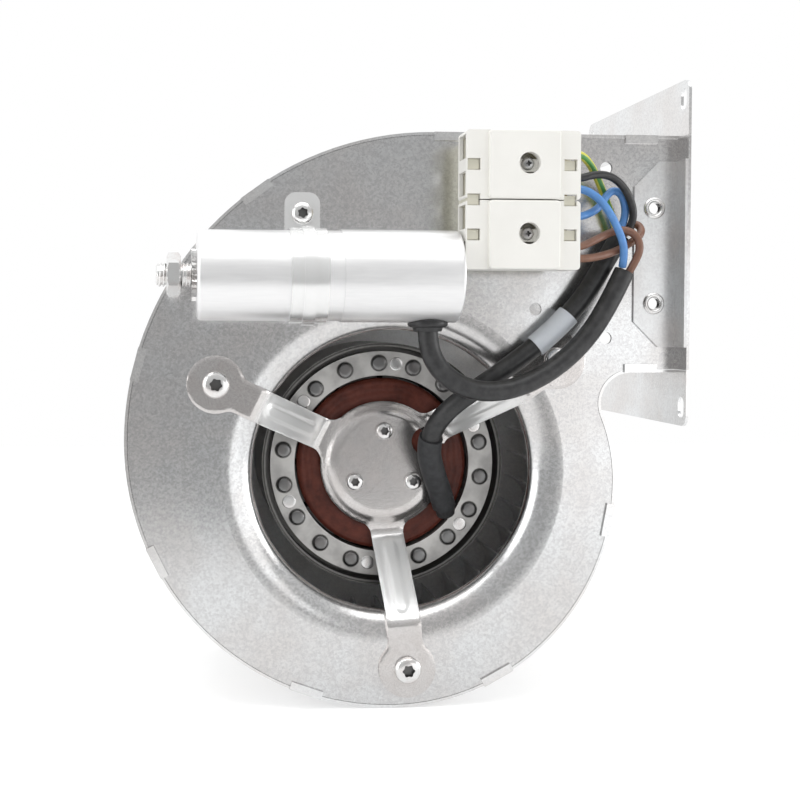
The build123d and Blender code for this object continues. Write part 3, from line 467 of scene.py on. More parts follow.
# P-clamp, its nut, the weld nuts of the bracket and the impeller's rivets: pressed or turned steel, plated
# with bright zinc.
def zinc_plated(name, tone=0.78, shine=0.2, metal=1.0, patchy=1.0):
    """Bright zinc plating over pressed or turned steel, with faint rainbow-dull patches."""
    plating = Finish(name)
    haze = plating.smooth(plating.noise(4.5 * mm, detail=4), 0.35, 0.7) * patchy
    tooth = plating.noise(0.5 * mm, detail=2)
    colour = plating.blend(haze, (tone, tone * 1.005, tone), (tone * 0.90, tone * 0.865, tone * 0.85))
    return plating.surface(
        Base_Color=colour,
        Metallic=metal,
        Roughness=shine + haze * 0.03 + tooth * 0.04,
        Normal=plating.bumps(tooth, 0.004 * mm, 0.7),
    )


plated = zinc_plated("zinc_plated")
bright = zinc_plated("bright_zinc", tone=0.88, shine=0.20)
dress(plated, "clamp_nut", "bracket_nuts", "impeller_rivets")
dress(zinc_plated("clamp_zinc", tone=0.90, shine=0.2, metal=0.72, patchy=0.1), "capacitor_clamp")


# Motor bracket: one 1.5 mm steel pressing, zinc-plated. Three arms with embossed beads slope down from their
# pads to a pan in the middle, which is notched at the right for the motor lead. Screws hold its pads on the
# inlet plate and the motor on its pan.
def finish_mesh(mesh, crease=35):
    """Welds a mesh, turns its faces outwards and leaves it smooth but for its creases."""
    shape = bmesh.new()
    shape.from_mesh(mesh)
    bmesh.ops.remove_doubles(shape, verts=shape.verts, dist=0.001 * mm)
    bmesh.ops.recalc_face_normals(shape, faces=shape.faces)
    shape.to_mesh(mesh)
    shape.free()
    mesh.shade_smooth()
    mesh.set_sharp_from_angle(angle=radians(crease))


def fit_piece(name, mesh, material, body, slot, *stands_for):
    """Makes a finished mesh a piece of a body, in place of the CAD nodes it stands for."""
    if material:
        mesh.materials.clear()
        mesh.materials.append(material)
    piece = bpy.data.objects.new(name, mesh)
    scene.collection.objects.link(piece)
    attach(piece, body)
    if stands_for:
        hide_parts(*stands_for)
    return piece


def evaluated_mesh(piece):
    """The plain mesh that an object's modifiers give; the object goes."""
    bpy.context.view_layer.update()
    mesh = bpy.data.meshes.new_from_object(piece.evaluated_get(bpy.context.evaluated_depsgraph_get()))
    bpy.data.objects.remove(piece)
    return mesh


arm_turns = [radians(34 + number * 120) for number in range(3)]
arm_half, pad_radius, neck_radius, pad_ring = 6.0 * mm, 10.1 * mm, 5.0 * mm, 70.0 * mm
pan_disc, pan_rim, pan_face, rim_face = 19.0 * mm, 23.3 * mm, 22.0 * mm, 24.5 * mm
arm_foot, arm_bend, pad_face = 26.0 * mm, 53.0 * mm, -1.5 * mm
bracket_sheet, edge_round, bend_step = 1.5 * mm, 0.3 * mm, 0.45 * mm
bead_start, bead_end, bead_half = 30.2 * mm, 47.8 * mm, 2.9 * mm
bead_shoulder, bead_rise = 1.3 * mm, 0.95 * mm


def arc_points(x, y, radius, first, last):
    """Places along an arc, about a millimetre apart."""
    count = max(2, ceil(abs(last - first) * radius / (0.9 * mm)))
    turns = [first + (last - first) * step / count for step in range(count + 1)]
    return [(x + radius * cos(turn), y + radius * sin(turn)) for turn in turns]


def arm_edge():
    """One arm's outline, from the pan round the pad and back, with the arm along +x."""
    root_x = sqrt((pan_rim + neck_radius) ** 2 - (arm_half + neck_radius) ** 2)
    neck_x = pad_ring - sqrt((pad_radius + neck_radius) ** 2 - (arm_half + neck_radius) ** 2)
    centre_y = arm_half + neck_radius
    root_turn = pi + atan2(centre_y, root_x)
    upper = arc_points(root_x, centre_y, neck_radius, root_turn, 3 * pi / 2)
    arm_steps = 24
    upper += [(root_x + (neck_x - root_x) * step / arm_steps, arm_half) for step in range(1, arm_steps)]
    pad_turn = atan2(centre_y, pad_ring - neck_x)
    upper += arc_points(neck_x, centre_y, neck_radius, -pi / 2, -pad_turn)
    upper += arc_points(pad_ring, 0, pad_radius, pi - pad_turn, 0)[1:]
    return [(x, -y) for x, y in upper[:-1]] + upper[::-1]


outline = []
neck_y = arm_half + neck_radius
rim_turn = atan2(neck_y, sqrt((pan_rim + neck_radius) ** 2 - neck_y**2))
for turn in arm_turns:
    outline += [(x * cos(turn) - y * sin(turn), x * sin(turn) + y * cos(turn)) for x, y in arm_edge()]
    outline += arc_points(0, 0, pan_rim, turn + rim_turn, turn + tau / 3 - rim_turn)[1:-1]


def stepped(spot, *stops):
    """A line through (place, depth) stops, rounded over a few millimetres at each bend."""
    total = 0
    for nudge in range(-4, 5):
        place = spot + nudge * bend_step
        (left, low), (right, high) = stops[0], stops[-1]
        if place <= left:
            total += low
        elif place >= right:
            total += high
        else:
            for (left, low), (right, high) in zip(stops, stops[1:]):
                if left <= place <= right:
                    total += low + (high - low) * (place - left) / (right - left)
                    break
    return total / 9


def nearest_arm(x, z):
    """How far along the nearest arm a place lies, and how far to its side."""
    return max((x * cos(turn) + z * sin(turn), abs(z * cos(turn) - x * sin(turn))) for turn in arm_turns)


def pressed_depth(x, z):
    """How deep the front of the pressing lies at a place."""
    along, across = nearest_arm(x, z)
    pan = stepped(hypot(x, z), (pan_disc, pan_face), (pan_rim - 0.8 * mm, rim_face))
    slope = stepped(along, (arm_foot, 0.0), (arm_bend, pad_face - rim_face))
    beyond = max(bead_start - along, along - bead_end, 0.0)
    bead = min(1.0, max(0.0, (bead_half - hypot(beyond, across)) / bead_shoulder))
    return pan + slope - bead_rise * bead * bead * (3 - 2 * bead)


outline_polygon = [Vector(spot) for spot in outline]
inner_spots = []
row_gap, row_rise, edge_gap, bracket_reach = 0.8 * mm, 0.87, 0.4 * mm, 82 * mm
rows = int(bracket_reach / row_gap)
for row in range(-rows, rows + 1):
    for column in range(-rows, rows + 1):
        spot = Vector(((column + 0.5 * (row % 2)) * row_gap, row * row_gap * row_rise))
        if spot.length > pan_rim - edge_gap:
            along, across = nearest_arm(spot.x, spot.y)
            on_pad = hypot(along - pad_ring, across) < pad_radius - edge_gap
            if not on_pad and not (along < pad_ring and across < arm_half - edge_gap):
                continue
        inner_spots.append(spot)
edges = [(number, (number + 1) % len(outline)) for number in range(len(outline))]
places, _, triangles, *_ = delaunay_2d_cdt(outline_polygon + inner_spots, edges, [], 1, 0.0001 * mm)
pressing = bpy.data.meshes.new("motor_bracket_pressed")
depths = [pressed_depth(x, z) + edge_round * (number < len(outline)) for number, (x, z) in enumerate(places)]
pressing.from_pydata(
    [at(x, z, depth) for (x, z), depth in zip(places, depths)], [], [list(face) for face in triangles]
)
pressing.shade_smooth()
if sum(face.normal.y for face in pressing.polygons) > 0:
    pressing.flip_normals()
bracket = bpy.data.objects.new("bracket_in_making", pressing)
scene.collection.objects.link(bracket)
thickness = bracket.modifiers.new("sheet", "SOLIDIFY")
thickness.thickness, thickness.offset = bracket_sheet, -1

notch_x, notch_z, notch_radius, cut_x, cut_low, cut_high, cut_front, cut_back = (
    size * mm for size in (15.6, 8.6, 5.2, 18.9, -15.6, 7.5, 15, 32)
)
cut_end = pan_rim + 3 * mm
cutters = []
for shape in (
    arc_points(notch_x, notch_z, notch_radius, 0, tau)[:-1],
    [(cut_x, cut_low), (cut_end, cut_low), (cut_end, cut_high), (cut_x, cut_high)],
):
    count = len(shape)
    cutter_mesh = bpy.data.meshes.new("cutter")
    sides = [(spot, (spot + 1) % count, count + (spot + 1) % count, count + spot) for spot in range(count)]
    cutter_mesh.from_pydata(
        [at(x, z, depth) for depth in (cut_front, cut_back) for x, z in shape],
        [],
        sides + [tuple(range(count)), tuple(range(count, 2 * count))],
    )
    finish_mesh(cutter_mesh)
    cutter = bpy.data.objects.new("cutter", cutter_mesh)
    scene.collection.objects.link(cutter)
    cut = bracket.modifiers.new("cut", "BOOLEAN")
    cut.operation, cut.solver, cut.object = "DIFFERENCE", "EXACT", cutter
    cutters.append(cutter)
pressed_mesh = evaluated_mesh(bracket)
for cutter in cutters:
    bpy.data.objects.remove(cutter)
finish_mesh(pressed_mesh, crease=50)
pressed = Finish("pressed_zinc")
from_middle = pressed.ring_radius()
past_pan, past_bend = (24 * mm, 29 * mm), (49 * mm, 55 * mm)
# The arms' slopes are painted paler and less metallic than pan and pads: a painted highlight from the lamps at
# the right.
slope_painted_highlight = pressed.smooth(from_middle, *past_pan) * (1 - pressed.smooth(from_middle, *past_bend))
handled = pressed.smooth(pressed.noise(9 * mm, detail=4), 0.35, 0.65)
peppered = pressed.smooth(pressed.noise(0.4 * mm, detail=3), 0.36, 0.60)
dull = pressed.blend(handled, (0.70, 0.68, 0.67), (0.64, 0.61, 0.595))
dull = pressed.blend((1 - peppered) * 0.5, dull, (0.46, 0.44, 0.43))
pressed_zinc = pressed.surface(
    Base_Color=pressed.blend(slope_painted_highlight, dull, (0.94, 0.945, 0.94)),
    Metallic=0.95 - slope_painted_highlight * 0.45,
    Roughness=0.17 + handled * 0.06,
    Normal=pressed.bumps(peppered, 0.005 * mm),
)
fit_piece("pressed_bracket", pressed_mesh, pressed_zinc, "housing", "zinc_plated", "motor_bracket")

# Screws, hollow rivets and the end ring's studs. The screws are cold-headed steel, zinc-plated, with six-lobed
# or crossed recesses, and the rivets are tubes whose ends are flared over the sheet. The studs and dimples of
# the end ring turn with the rotor.
def geometry_tree(name, *inputs):
    """An empty Geometry Nodes tree with named inputs, each given as a name and a kind of socket."""
    tree = bpy.data.node_groups.new(name, "GeometryNodeTree")
    tree.interface.new_socket(name="Geometry", in_out="OUTPUT", socket_type="NodeSocketGeometry")
    tree.interface.new_socket(name="Seats", in_out="INPUT", socket_type="NodeSocketGeometry")
    for label, kind in inputs:
        tree.interface.new_socket(name=label, in_out="INPUT", socket_type="NodeSocket" + kind)
    nodes = Nodes(tree)
    return nodes, nodes.add("NodeGroupInput")


def close_tree(nodes, given, piece, recess=False):
    """Sets the finished piece on every seat, facing the inlet side and turned at random."""
    chances = {2: 0.0, 3: tau, "Seed": given.other("Seed")}
    turn = nodes.add("FunctionNodeRandomValue", {"data_type": "FLOAT"}, chances, out=1)
    facing = nodes.add("ShaderNodeCombineXYZ", {}, {"X": pi / 2, "Y": turn})
    seated = {"Points": given.other("Seats"), "Instance": piece, "Rotation": facing}
    copies = nodes.add("GeometryNodeInstanceOnPoints", {}, seated)
    real = nodes.add("GeometryNodeRealizeInstances", {}, {"Geometry": copies})
    finished = nodes.add("GeometryNodeSetMaterial", {}, {"Geometry": real, "Material": given.other("Finish")})
    # Recess faces take the dark recess_shade material: painted shade in the head's hollow.
    if recess:
        inside = nodes.add("GeometryNodeInputNamedAttribute", {"data_type": "BOOLEAN"}, {"Name": "recess"})
        finished = nodes.add(
            "GeometryNodeSetMaterial",
            {},
            {"Geometry": finished, "Selection": inside, "Material": given.other("Recess painted shade")},
        )
    nodes.add("NodeGroupOutput", {}, {"Geometry": finished})


def upright(nodes, height):
    """A place on the fastener's own axis."""
    return nodes.add("ShaderNodeCombineXYZ", {}, {"Z": height})


headed, given = geometry_tree(
    "headed_fastener",
    *((label, "Float") for label in ("Head radius", "Head height", "Roundness", "Recess radius")),
    *((label, "Float") for label in ("Recess waist", "Recess depth", "Shank radius", "Shank length")),
    ("Recess points", "Int"),
    ("Seed", "Int"),
    ("Finish", "Material"),
    ("Recess painted shade", "Material"),
)
ball = headed.add("GeometryNodeMeshUVSphere", {}, {"Segments": 36, "Rings": 20, "Radius": 1.0})
ball_spot = headed.add("ShaderNodeSeparateXYZ", {}, {"Vector": headed.add("GeometryNodeInputPosition")})
ball_reach = (ball_spot**2 + ball_spot.other("Y") ** 2) ** 0.5
above = headed.add("ShaderNodeMath", {"operation": "MAXIMUM"}, {0: ball_spot.other("Z"), 1: 0.0})
off_centre = headed.add("ShaderNodeMath", {"operation": "MAXIMUM"}, {0: ball_reach, 1: 0.0001})
widen = (off_centre ** given.other("Roundness")) / off_centre * given.other("Head radius")
head_spot = headed.add(
    "ShaderNodeCombineXYZ",
    {},
    {
        "X": ball_spot * widen,
        "Y": ball_spot.other("Y") * widen,
        "Z": (above ** given.other("Roundness")) * given.other("Head height"),
    },
)
head = headed.add("GeometryNodeSetPosition", {}, {"Geometry": ball, "Position": head_spot})
star = headed.add(
    "GeometryNodeCurveStar",
    {},
    {
        "Points": given.other("Recess points"),
        "Inner Radius": given.other("Recess radius") * given.other("Recess waist"),
        "Outer Radius": given.other("Recess radius"),
        "Twist": 0.0,
    },
)
lobes = headed.add(
    "GeometryNodeFilletCurve",
    {"mode": "POLY"},
    {"Curve": star, "Count": 3, "Radius": given.other("Recess radius") * 0.16, "Limit Radius": True},
)
height = given.other("Head height")
recess_floor = upright(headed, height - given.other("Recess depth"))
recess_top = upright(headed, height + 2 * mm)
down_line = headed.add(
    "GeometryNodeCurvePrimitiveLine", {"mode": "POINTS"}, {"Start": recess_floor, "End": recess_top}
)
swept = {"Curve": down_line, "Profile Curve": lobes, "Fill Caps": True}
prism = headed.add("GeometryNodeCurveToMesh", {}, swept)
marked = headed.add(
    "GeometryNodeStoreNamedAttribute",
    {"data_type": "BOOLEAN", "domain": "FACE"},
    {"Geometry": prism, "Name": "recess", "Value": True},
)
recessed = headed.add(
    "GeometryNodeMeshBoolean",
    {"operation": "DIFFERENCE", "solver": "EXACT"},
    {"Mesh 1": head, "Mesh 2": [marked]},
)
shank_sizes = {"Vertices": 24, "Radius": given.other("Shank radius"), "Depth": given.other("Shank length")}
shank = headed.add("GeometryNodeMeshCylinder", {}, shank_sizes)
shank_middle = upright(headed, given.other("Shank length") * -0.5)
lowered = headed.add("GeometryNodeTransform", {}, {"Geometry": shank, "Translation": shank_middle})
screw = headed.add("GeometryNodeJoinGeometry", {}, {"Geometry": [recessed, lowered]})
close_tree(headed, given, screw, recess=True)

flared, given = geometry_tree(
    "hollow_rivet",
    *((label, "Float") for label in ("Lip radius", "Bore radius", "Wall", "Grip")),
    ("Seed", "Int"),
    ("Finish", "Material"),
)
lip_radius, bore_radius, wall = (given.other(label) for label in ("Lip radius", "Bore radius", "Wall"))


def circle(radius, sides):
    """A circle in the hollow rivet's tree."""
    return flared.add("GeometryNodeCurvePrimitiveCircle", {}, {"Resolution": sides, "Radius": radius})


lip_line = circle((lip_radius + bore_radius) * 0.5, 40)
lip_round = circle((lip_radius - bore_radius) * 0.5, 14)
lip = flared.add("GeometryNodeCurveToMesh", {}, {"Curve": lip_line, "Profile Curve": lip_round})
far_end, tube_middle = upright(flared, given.other("Grip") * -1.0), upright(flared, given.other("Grip") * -0.5)
far_lip = flared.add("GeometryNodeTransform", {}, {"Geometry": lip, "Translation": far_end})
tube_section = {"Width": wall, "Height": given.other("Grip") * 1.3}
tube_wall = flared.add("GeometryNodeCurvePrimitiveQuadrilateral", {}, tube_section)
tube_line = circle(bore_radius + wall * 0.5, 40)
tube = flared.add("GeometryNodeCurveToMesh", {}, {"Curve": tube_line, "Profile Curve": tube_wall})
tube_down = flared.add("GeometryNodeTransform", {}, {"Geometry": tube, "Translation": tube_middle})
close_tree(flared, given, flared.add("GeometryNodeJoinGeometry", {}, {"Geometry": [lip, far_lip, tube_down]}))
# Dark plating for the screws' recesses: painted shade where the hollow of the head lies in shadow.
recess_shade = zinc_plated("recess_shade", tone=0.16, shine=0.35)


def set_on_seats(name, tree, seats, sizes, material, body, slot, *stands_for):
    """Runs a fastener's tree on its seats and makes the result a plain piece."""
    seat_mesh = bpy.data.meshes.new(name + "_seats")
    seat_mesh.from_pydata(seats, [], [])
    holder = bpy.data.objects.new(name + "_holder", seat_mesh)
    scene.collection.objects.link(holder)
    maker = holder.modifiers.new("maker", "NODES")
    maker.node_group = tree
    for item in tree.interface.items_tree:
        if item.in_out == "INPUT" and item.name in sizes:
            maker[item.identifier] = sizes[item.name]
        elif item.in_out == "INPUT" and item.name == "Finish":
            maker[item.identifier] = material
        elif item.in_out == "INPUT" and item.name == "Recess painted shade":
            maker[item.identifier] = recess_shade
    mesh = evaluated_mesh(holder)
    finish_mesh(mesh, crease=32)
    fit_piece(name, mesh, None, body, slot, *stands_for)


def headed_sizes(radius, height, shank, length, recess, depth, points=6, waist=0.74, roundness=0.62, seed=1):
    """The inputs of a headed fastener, its sizes in millimetres; depth below 0 leaves the head plain."""
    lengths = {"Head radius": radius, "Head height": height, "Shank radius": shank, "Shank length": length}
    lengths |= {"Recess radius": recess, "Recess depth": depth}
    return {label: size * mm for label, size in lengths.items()} | {
        "Recess points": points, "Recess waist": waist, "Roundness": roundness, "Seed": seed,
    }


pads = [at(x, z, pad_face) for x, z in round_axis(pad_ring, len(arm_turns), arm_turns[0])]
set_on_seats(
    "bracket_screw_heads", headed.tree, pads,
    headed_sizes(radius=4.8, height=2.7, shank=2.5, length=7.5, recess=2.45, depth=1.9, seed=3),
    bright, "housing", "zinc_plated", "bracket_screws",
)
hub_ring, hub_screws = 12.5 * mm, 3
hub_seats = [at(x, z, pan_face) for x, z in round_axis(hub_ring, hub_screws, pi / 2)]
set_on_seats(
    "hub_screw_heads", headed.tree, hub_seats,
    headed_sizes(radius=3.3, height=2.2, shank=2.0, length=4.5, recess=1.75, depth=1.5, seed=5),
    bright, "housing", "zinc_plated", "hub_screws",
)
clamp_seat = at(-33 * mm, 90.2 * mm, -1.6 * mm)
set_on_seats(
    "clamp_screw_head", headed.tree, [clamp_seat],
    headed_sizes(radius=3.9, height=2.4, shank=2.0, length=7.1, recess=2.0, depth=1.7, seed=8),
    bright, "housing", "zinc_plated", "clamp_screw",
)
dulled = zinc_plated("dulled_zinc", tone=0.42, shine=0.28)
cover_seats = [at(40 * mm, rise * mm, -24.6 * mm) for rise in (105.4, 82.1)]
set_on_seats(
    "cover_screw_heads", headed.tree, cover_seats,
    headed_sizes(
        radius=2.2, height=1.8, shank=1.5, length=16.6, recess=1.5, depth=1.3,
        points=4, waist=0.36, roundness=0.7, seed=2,
    ),
    dulled, "housing", "zinc_plated", "terminal_screws",
)
rivet_sizes = {"Lip radius": 3.9 * mm, "Bore radius": 2.1 * mm, "Wall": 0.6 * mm, "Grip": 2.0 * mm, "Seed": 1}
for side, depth in (("front", -1.0), ("rear", 85.0)):
    rivet_seats = [at(93 * mm, rise * mm, depth * mm) for rise in (93.4, 59.5)]
    set_on_seats(
        side + "_flared_rivets", flared.tree, rivet_seats, rivet_sizes,
        plated, "housing", "zinc_plated", side + "_hollow_rivets",
    )
stud_finish = zinc_plated("stud_heads", tone=0.22, shine=0.28)
ring_face, dimples_on_ring, first_dimple = 26 * mm, 6, radians(22)
set_on_seats(
    "end_ring_studs", headed.tree,
    [at(x, z, ring_face) for x, z in round_axis(stud_ring, studs_on_ring, first_stud)],
    headed_sizes(radius=2.85, height=1.6, shank=2.0, length=0.4, recess=1.0, depth=-0.3, roundness=0.5),
    stud_finish, "impeller", "cast_aluminium",
)
set_on_seats(
    "end_ring_dimples", headed.tree,
    [at(x, z, ring_face) for x, z in round_axis(stud_ring, dimples_on_ring, first_dimple)],
    headed_sizes(radius=2.5, height=0.3, shank=2.0, length=0.4, recess=1.0, depth=-0.3, roundness=0.5),
    plated, "impeller", "cast_aluminium",
)


# Capacitor's stud: an M8 aluminium stud that is one piece with the can, with its rolled thread. It carries a
# chamfered hexagon nut and a washer with raked teeth, both of zinc-plated steel.
def loft(name, rings, capped=True, looped=False, crease=35):
    """A mesh through rings of as many places each, closed at its ends or back on itself."""
    count, total = len(rings[0]), len(rings)
    faces = [
        (
            row * count + spot,
            row * count + (spot + 1) % count,
            (row + 1) % total * count + (spot + 1) % count,
            (row + 1) % total * count + spot,
        )
        for row in range(total if looped else total - 1)
        for spot in range(count)
    ]
    if capped:
        faces += [tuple(range(count)), tuple(range((total - 1) * count, total * count))]
    mesh = bpy.data.meshes.new(name)
    mesh.from_pydata([tuple(spot) for ring in rings for spot in ring], [], faces)
    finish_mesh(mesh, crease)
    return mesh


can_z, can_depth = 68.0 * mm, -16.3 * mm


def round_can(x, radius, count, start=0.0):
    """A ring of places about the can's axis; radius may be a function of the angle."""
    turns = [start + number * tau / count for number in range(count)]
    reach = radius if callable(radius) else (lambda turn: radius)
    return [at(x, can_z + reach(turn) * sin(turn), can_depth + reach(turn) * cos(turn)) for turn in turns]


thread_pitch, thread_depth, stud_radius = 1.25 * mm, 0.62 * mm, 4.0 * mm
stud_from, stud_to = -83.3 * mm, -69.9 * mm
thread_rings = []
thread_steps = 116
for step in range(thread_steps + 1):
    x = stud_from + (stud_to - stud_from) * step / thread_steps

    def thread(turn, x=x):
        phase = (x / thread_pitch + turn / tau) % 1
        crest = min(1.0, abs(2 * phase - 1) * 1.25)
        return min(stud_radius - thread_depth * (1 - crest), 3.1 * mm + (x - stud_from))

    thread_rings.append(round_can(x, thread, 36))
threaded = loft("threaded_stud", thread_rings, crease=60)
fit_piece("threaded_stud", threaded, bright, "housing", "can_aluminium", "capacitor_stud")

nut_half, nut_near, nut_far, nut_bore = 6.5 * mm, -79.8 * mm, -75.1 * mm, 4.25 * mm
nut_spots, chamfer_run, chamfer_rise, chamfer_from = 72, 0.17 * mm, 0.30 * mm, 0.955


def hexagon(extra):
    """The nut's outline, cut back by its chamfer where that is nearer the axis."""
    return lambda turn: min(
        nut_half / cos((turn + pi / 6) % (pi / 3) - pi / 6), nut_half * chamfer_from + extra
    )


def chamfer(face, run):
    """The six rings from a face of the nut inwards."""
    return [round_can(face + step * run, hexagon(step * chamfer_rise), nut_spots) for step in range(6)]


nut_rings = [round_can(nut_near, nut_bore, nut_spots)] + chamfer(nut_near, chamfer_run)
nut_rings += chamfer(nut_far, -chamfer_run)[::-1] + [round_can(nut_far, nut_bore, nut_spots)]
nut_mesh = loft("chamfered_nut", nut_rings, capped=False, looped=True, crease=25)
fit_piece("chamfered_nut", nut_mesh, bright, "housing", "zinc_plated", "stud_nut")

teeth, washer_near, washer_far, washer_bore = 26, -71.5 * mm, -69.95 * mm, 4.2 * mm
tooth_spots, tooth_start, tooth_rake = teeth * 4, 0.02, 1.2 / teeth


def toothed_edge(turn):
    """The washer's edge, cut back between its teeth."""
    return (8.7 - 1.1 * (turn * teeth / tau % 1 > 0.5)) * mm


tooth_rings = [
    round_can(washer_near, washer_bore, tooth_spots),
    round_can(washer_near, toothed_edge, tooth_spots, tooth_start),
    round_can(washer_far, toothed_edge, tooth_spots, tooth_start + tooth_rake),
    round_can(washer_far, washer_bore, tooth_spots, tooth_rake),
]
toothed = loft("toothed_washer", tooth_rings, capped=False, looped=True, crease=30)
fit_piece("toothed_washer", toothed, bright, "housing", "zinc_plated", "stud_washer")

# Terminal blocks: a base with latch posts moulded in ivory, and two covers in warm white, glass-filled nylon
# with the faint grain of the spark-eroded mould.
def moulded(name, light, dark, shine=0.38):
    """Thermoplastic moulding with a fine eroded grain."""
    plastic = Finish(name)
    grain = plastic.noise(0.35 * mm, detail=2)
    flow = plastic.noise(14 * mm, detail=2)
    return plastic.surface(
        Base_Color=plastic.blend(plastic.smooth(flow, 0.3, 0.7), light, dark),
        Roughness=shine + grain * 0.12,
        Normal=plastic.bumps(grain, 0.02 * mm),
    )


cover_white = moulded("cover_white", (0.87, 0.86, 0.82), (0.84, 0.83, 0.79))
dress(cover_white, "upper_terminal_cover", "lower_terminal_cover")
dress(moulded("base_ivory", (0.74, 0.72, 0.62), (0.70, 0.68, 0.57)), "terminal_base")

# Terminal clamps: pressed brass, one in each way of the base, which grip the ends of the wires. They show only
# through the gaps of the covers.
brass = Finish("brass_clamp")
brass_grain = brass.noise(0.6 * mm, detail=3)
dress(
    brass.surface(
        Base_Color=brass.blend(brass_grain, (0.62, 0.45, 0.17), (0.78, 0.60, 0.27)),
        Metallic=1.0,
        Roughness=0.28,
        Normal=brass.bumps(brass_grain, 0.02 * mm),
    ),
    "terminal_clamps",
)

# Cable grommet: black rubber, moulded with a rounded collar. Its neck is pressed into the hole under the
# capacitor's end cap, and the lead passes through it.
def insulation(name, light, dark, shine=0.36):
    """Extruded sheath or insulation, with a slightly uneven skin."""
    skin = Finish(name)
    rub = skin.noise(2.5 * mm, detail=4)
    pimples = skin.noise(0.4 * mm, detail=2)
    return skin.surface(
        Base_Color=skin.blend(skin.smooth(rub, 0.3, 0.7), light, dark),
        Roughness=shine + rub * 0.14,
        Normal=skin.bumps(pimples * 0.5 + rub * 0.5, 0.035 * mm),
    )


rubber = insulation("black_rubber", (0.018, 0.018, 0.019), (0.036, 0.036, 0.037), 0.33)
grommet_x, grommet_top, grommet_low = 8.3 * mm, 53.9 * mm, 49.4 * mm
grommet_steps = (
    (3.4, grommet_low), (4.6, grommet_low), (4.9, grommet_low + 0.5 * mm), (5.1, grommet_low + 1.3 * mm),
    (6.3, grommet_low + 1.6 * mm), (6.8, grommet_low + 2.2 * mm), (6.8, grommet_low + 3.1 * mm),
    (6.4, grommet_low + 3.7 * mm), (5.6, grommet_top), (3.4, grommet_top),
)
grommet_turns = [step * tau / 40 for step in range(40)]
grommet_rings = []
for step, height in grommet_steps:
    reach = step * mm
    grommet_rings.append(
        [at(grommet_x + reach * cos(turn), height, can_depth + reach * sin(turn)) for turn in grommet_turns]
    )
grommet_mesh = loft("rubber_grommet", grommet_rings, capped=False, looped=True, crease=50)
fit_piece("rubber_grommet", grommet_mesh, rubber, "housing", "black_rubber", "cap_grommet")


# Motor lead: four cores in a black rubber sheath, from the bracket's notch up to the terminals. A rubber boot
# covers it where it leaves the motor, and a piece of clear sleeve is slid over it halfway.
def free_cord(name, material, radius, points, with_pieces=()):
    """A lead or wire through listed points, which stands for its plain solid."""
    line = bpy.data.curves.new(name, "CURVE")
    line.dimensions = "3D"
    line.bevel_depth = radius
    line.bevel_resolution = 5
    line.resolution_u = 16
    line.use_fill_caps = True
    spline = line.splines.new("NURBS")
    spline.points.add(len(points) - 1)
    for point, spot in zip(spline.points, points):
        point.co = (*at(*spot), 1)
    spline.order_u = 3
    spline.use_endpoint_u = True
    line.materials.append(material)
    lead = bpy.data.objects.new(name, line)
    scene.collection.objects.link(lead)
    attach(lead, "housing")
    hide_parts(name.replace("_run", ""))
    with_pieces = [make(lead) for make in with_pieces]
    at(*points[0])


lead_radius, wire_radius = 3.5 * mm, 1.35 * mm
motor_route = (
    (0.0236, -0.0184, 0.0233), (0.0212, -0.0112, 0.0195), (0.0170, -0.0027, 0.0140), (0.0136, 0.0066, 0.0080),
    (0.0146, 0.0156, 0.0024), (0.0197, 0.0229, -0.0022), (0.0279, 0.0291, -0.0048), (0.0381, 0.0364, -0.0059),
    (0.0493, 0.0448, -0.0063), (0.0591, 0.0539, -0.0068), (0.0669, 0.0636, -0.0072), (0.0730, 0.0739, -0.0070),
    (0.0783, 0.0830, -0.0070),
)


def run_points(lead):
    """The places that a lead's smooth line goes through, in order."""
    bare = bpy.data.objects.new("bare_line", lead.data.copy())
    bare.data.bevel_depth = 0
    bare.data.use_fill_caps = False
    scene.collection.objects.link(bare)
    return [vertex.co.copy() for vertex in evaluated_mesh(bare).vertices]


def tube_on(name, node, outer, inner, material, slot, trim=0.0):
    """A tube on a lead's line, over the length that its CAD node covers, less a share at each end."""
    near_wall = 3.75 * mm

    def make(lead):
        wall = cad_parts[node]
        covered = []
        for spot in run_points(lead):
            found, nearest, *_ = wall.closest_point_on_mesh(spot)
            if found and (nearest - spot).length < near_wall:
                covered.append(spot)
        ends = round(trim * len(covered))
        covered = covered[ends : len(covered) - ends]
        rings, count = [], 28
        side = Vector((0, 0, 1))
        for number, spot in enumerate(covered):
            before, after = covered[max(number - 1, 0)], covered[min(number + 1, len(covered) - 1)]
            ahead = (after - before).normalized()
            side = (side - ahead * side.dot(ahead)).normalized()
            other = ahead.cross(side)
            ring = [side * cos(step * tau / count) + other * sin(step * tau / count) for step in range(count)]
            rings.append([spot + spoke * outer for spoke in ring])
            lining = [spot + spoke * inner for spoke in ring]
            if number == 0:
                rings = [lining] + rings
            elif number == len(covered) - 1:
                rings = rings + [lining]
        mesh = loft(name, rings, capped=False, crease=50)
        return fit_piece(name, mesh, material, "housing", slot, node)

    return make


matt_rubber = insulation("matt_rubber", (0.020, 0.021, 0.023), (0.040, 0.041, 0.044), 0.5)
sleeving = Finish("clear_sleeve")
milky = sleeving.noise(2 * mm, detail=3)
sleeving.surface(
    Base_Color=sleeving.blend(milky, (0.62, 0.66, 0.72), (0.74, 0.77, 0.81)),
    Roughness=0.27 + milky * 0.14,
    Alpha=0.88,
    Normal=sleeving.bumps(milky, 0.05 * mm),
)
clear, boot_radius, sleeve_radius, tube_bore = sleeving.material, 4.3 * mm, 4.0 * mm, 3.4 * mm
free_cord(
    "motor_lead_run", rubber, lead_radius, motor_route,
    with_pieces=(
        tube_on("lead_boot", "motor_lead_boot", boot_radius, tube_bore, matt_rubber, "black_rubber"),
        tube_on("lead_clear_sleeve", "lead_sleeve", sleeve_radius, tube_bore, clear, "clear_sleeve", trim=0.2),
    ),
)

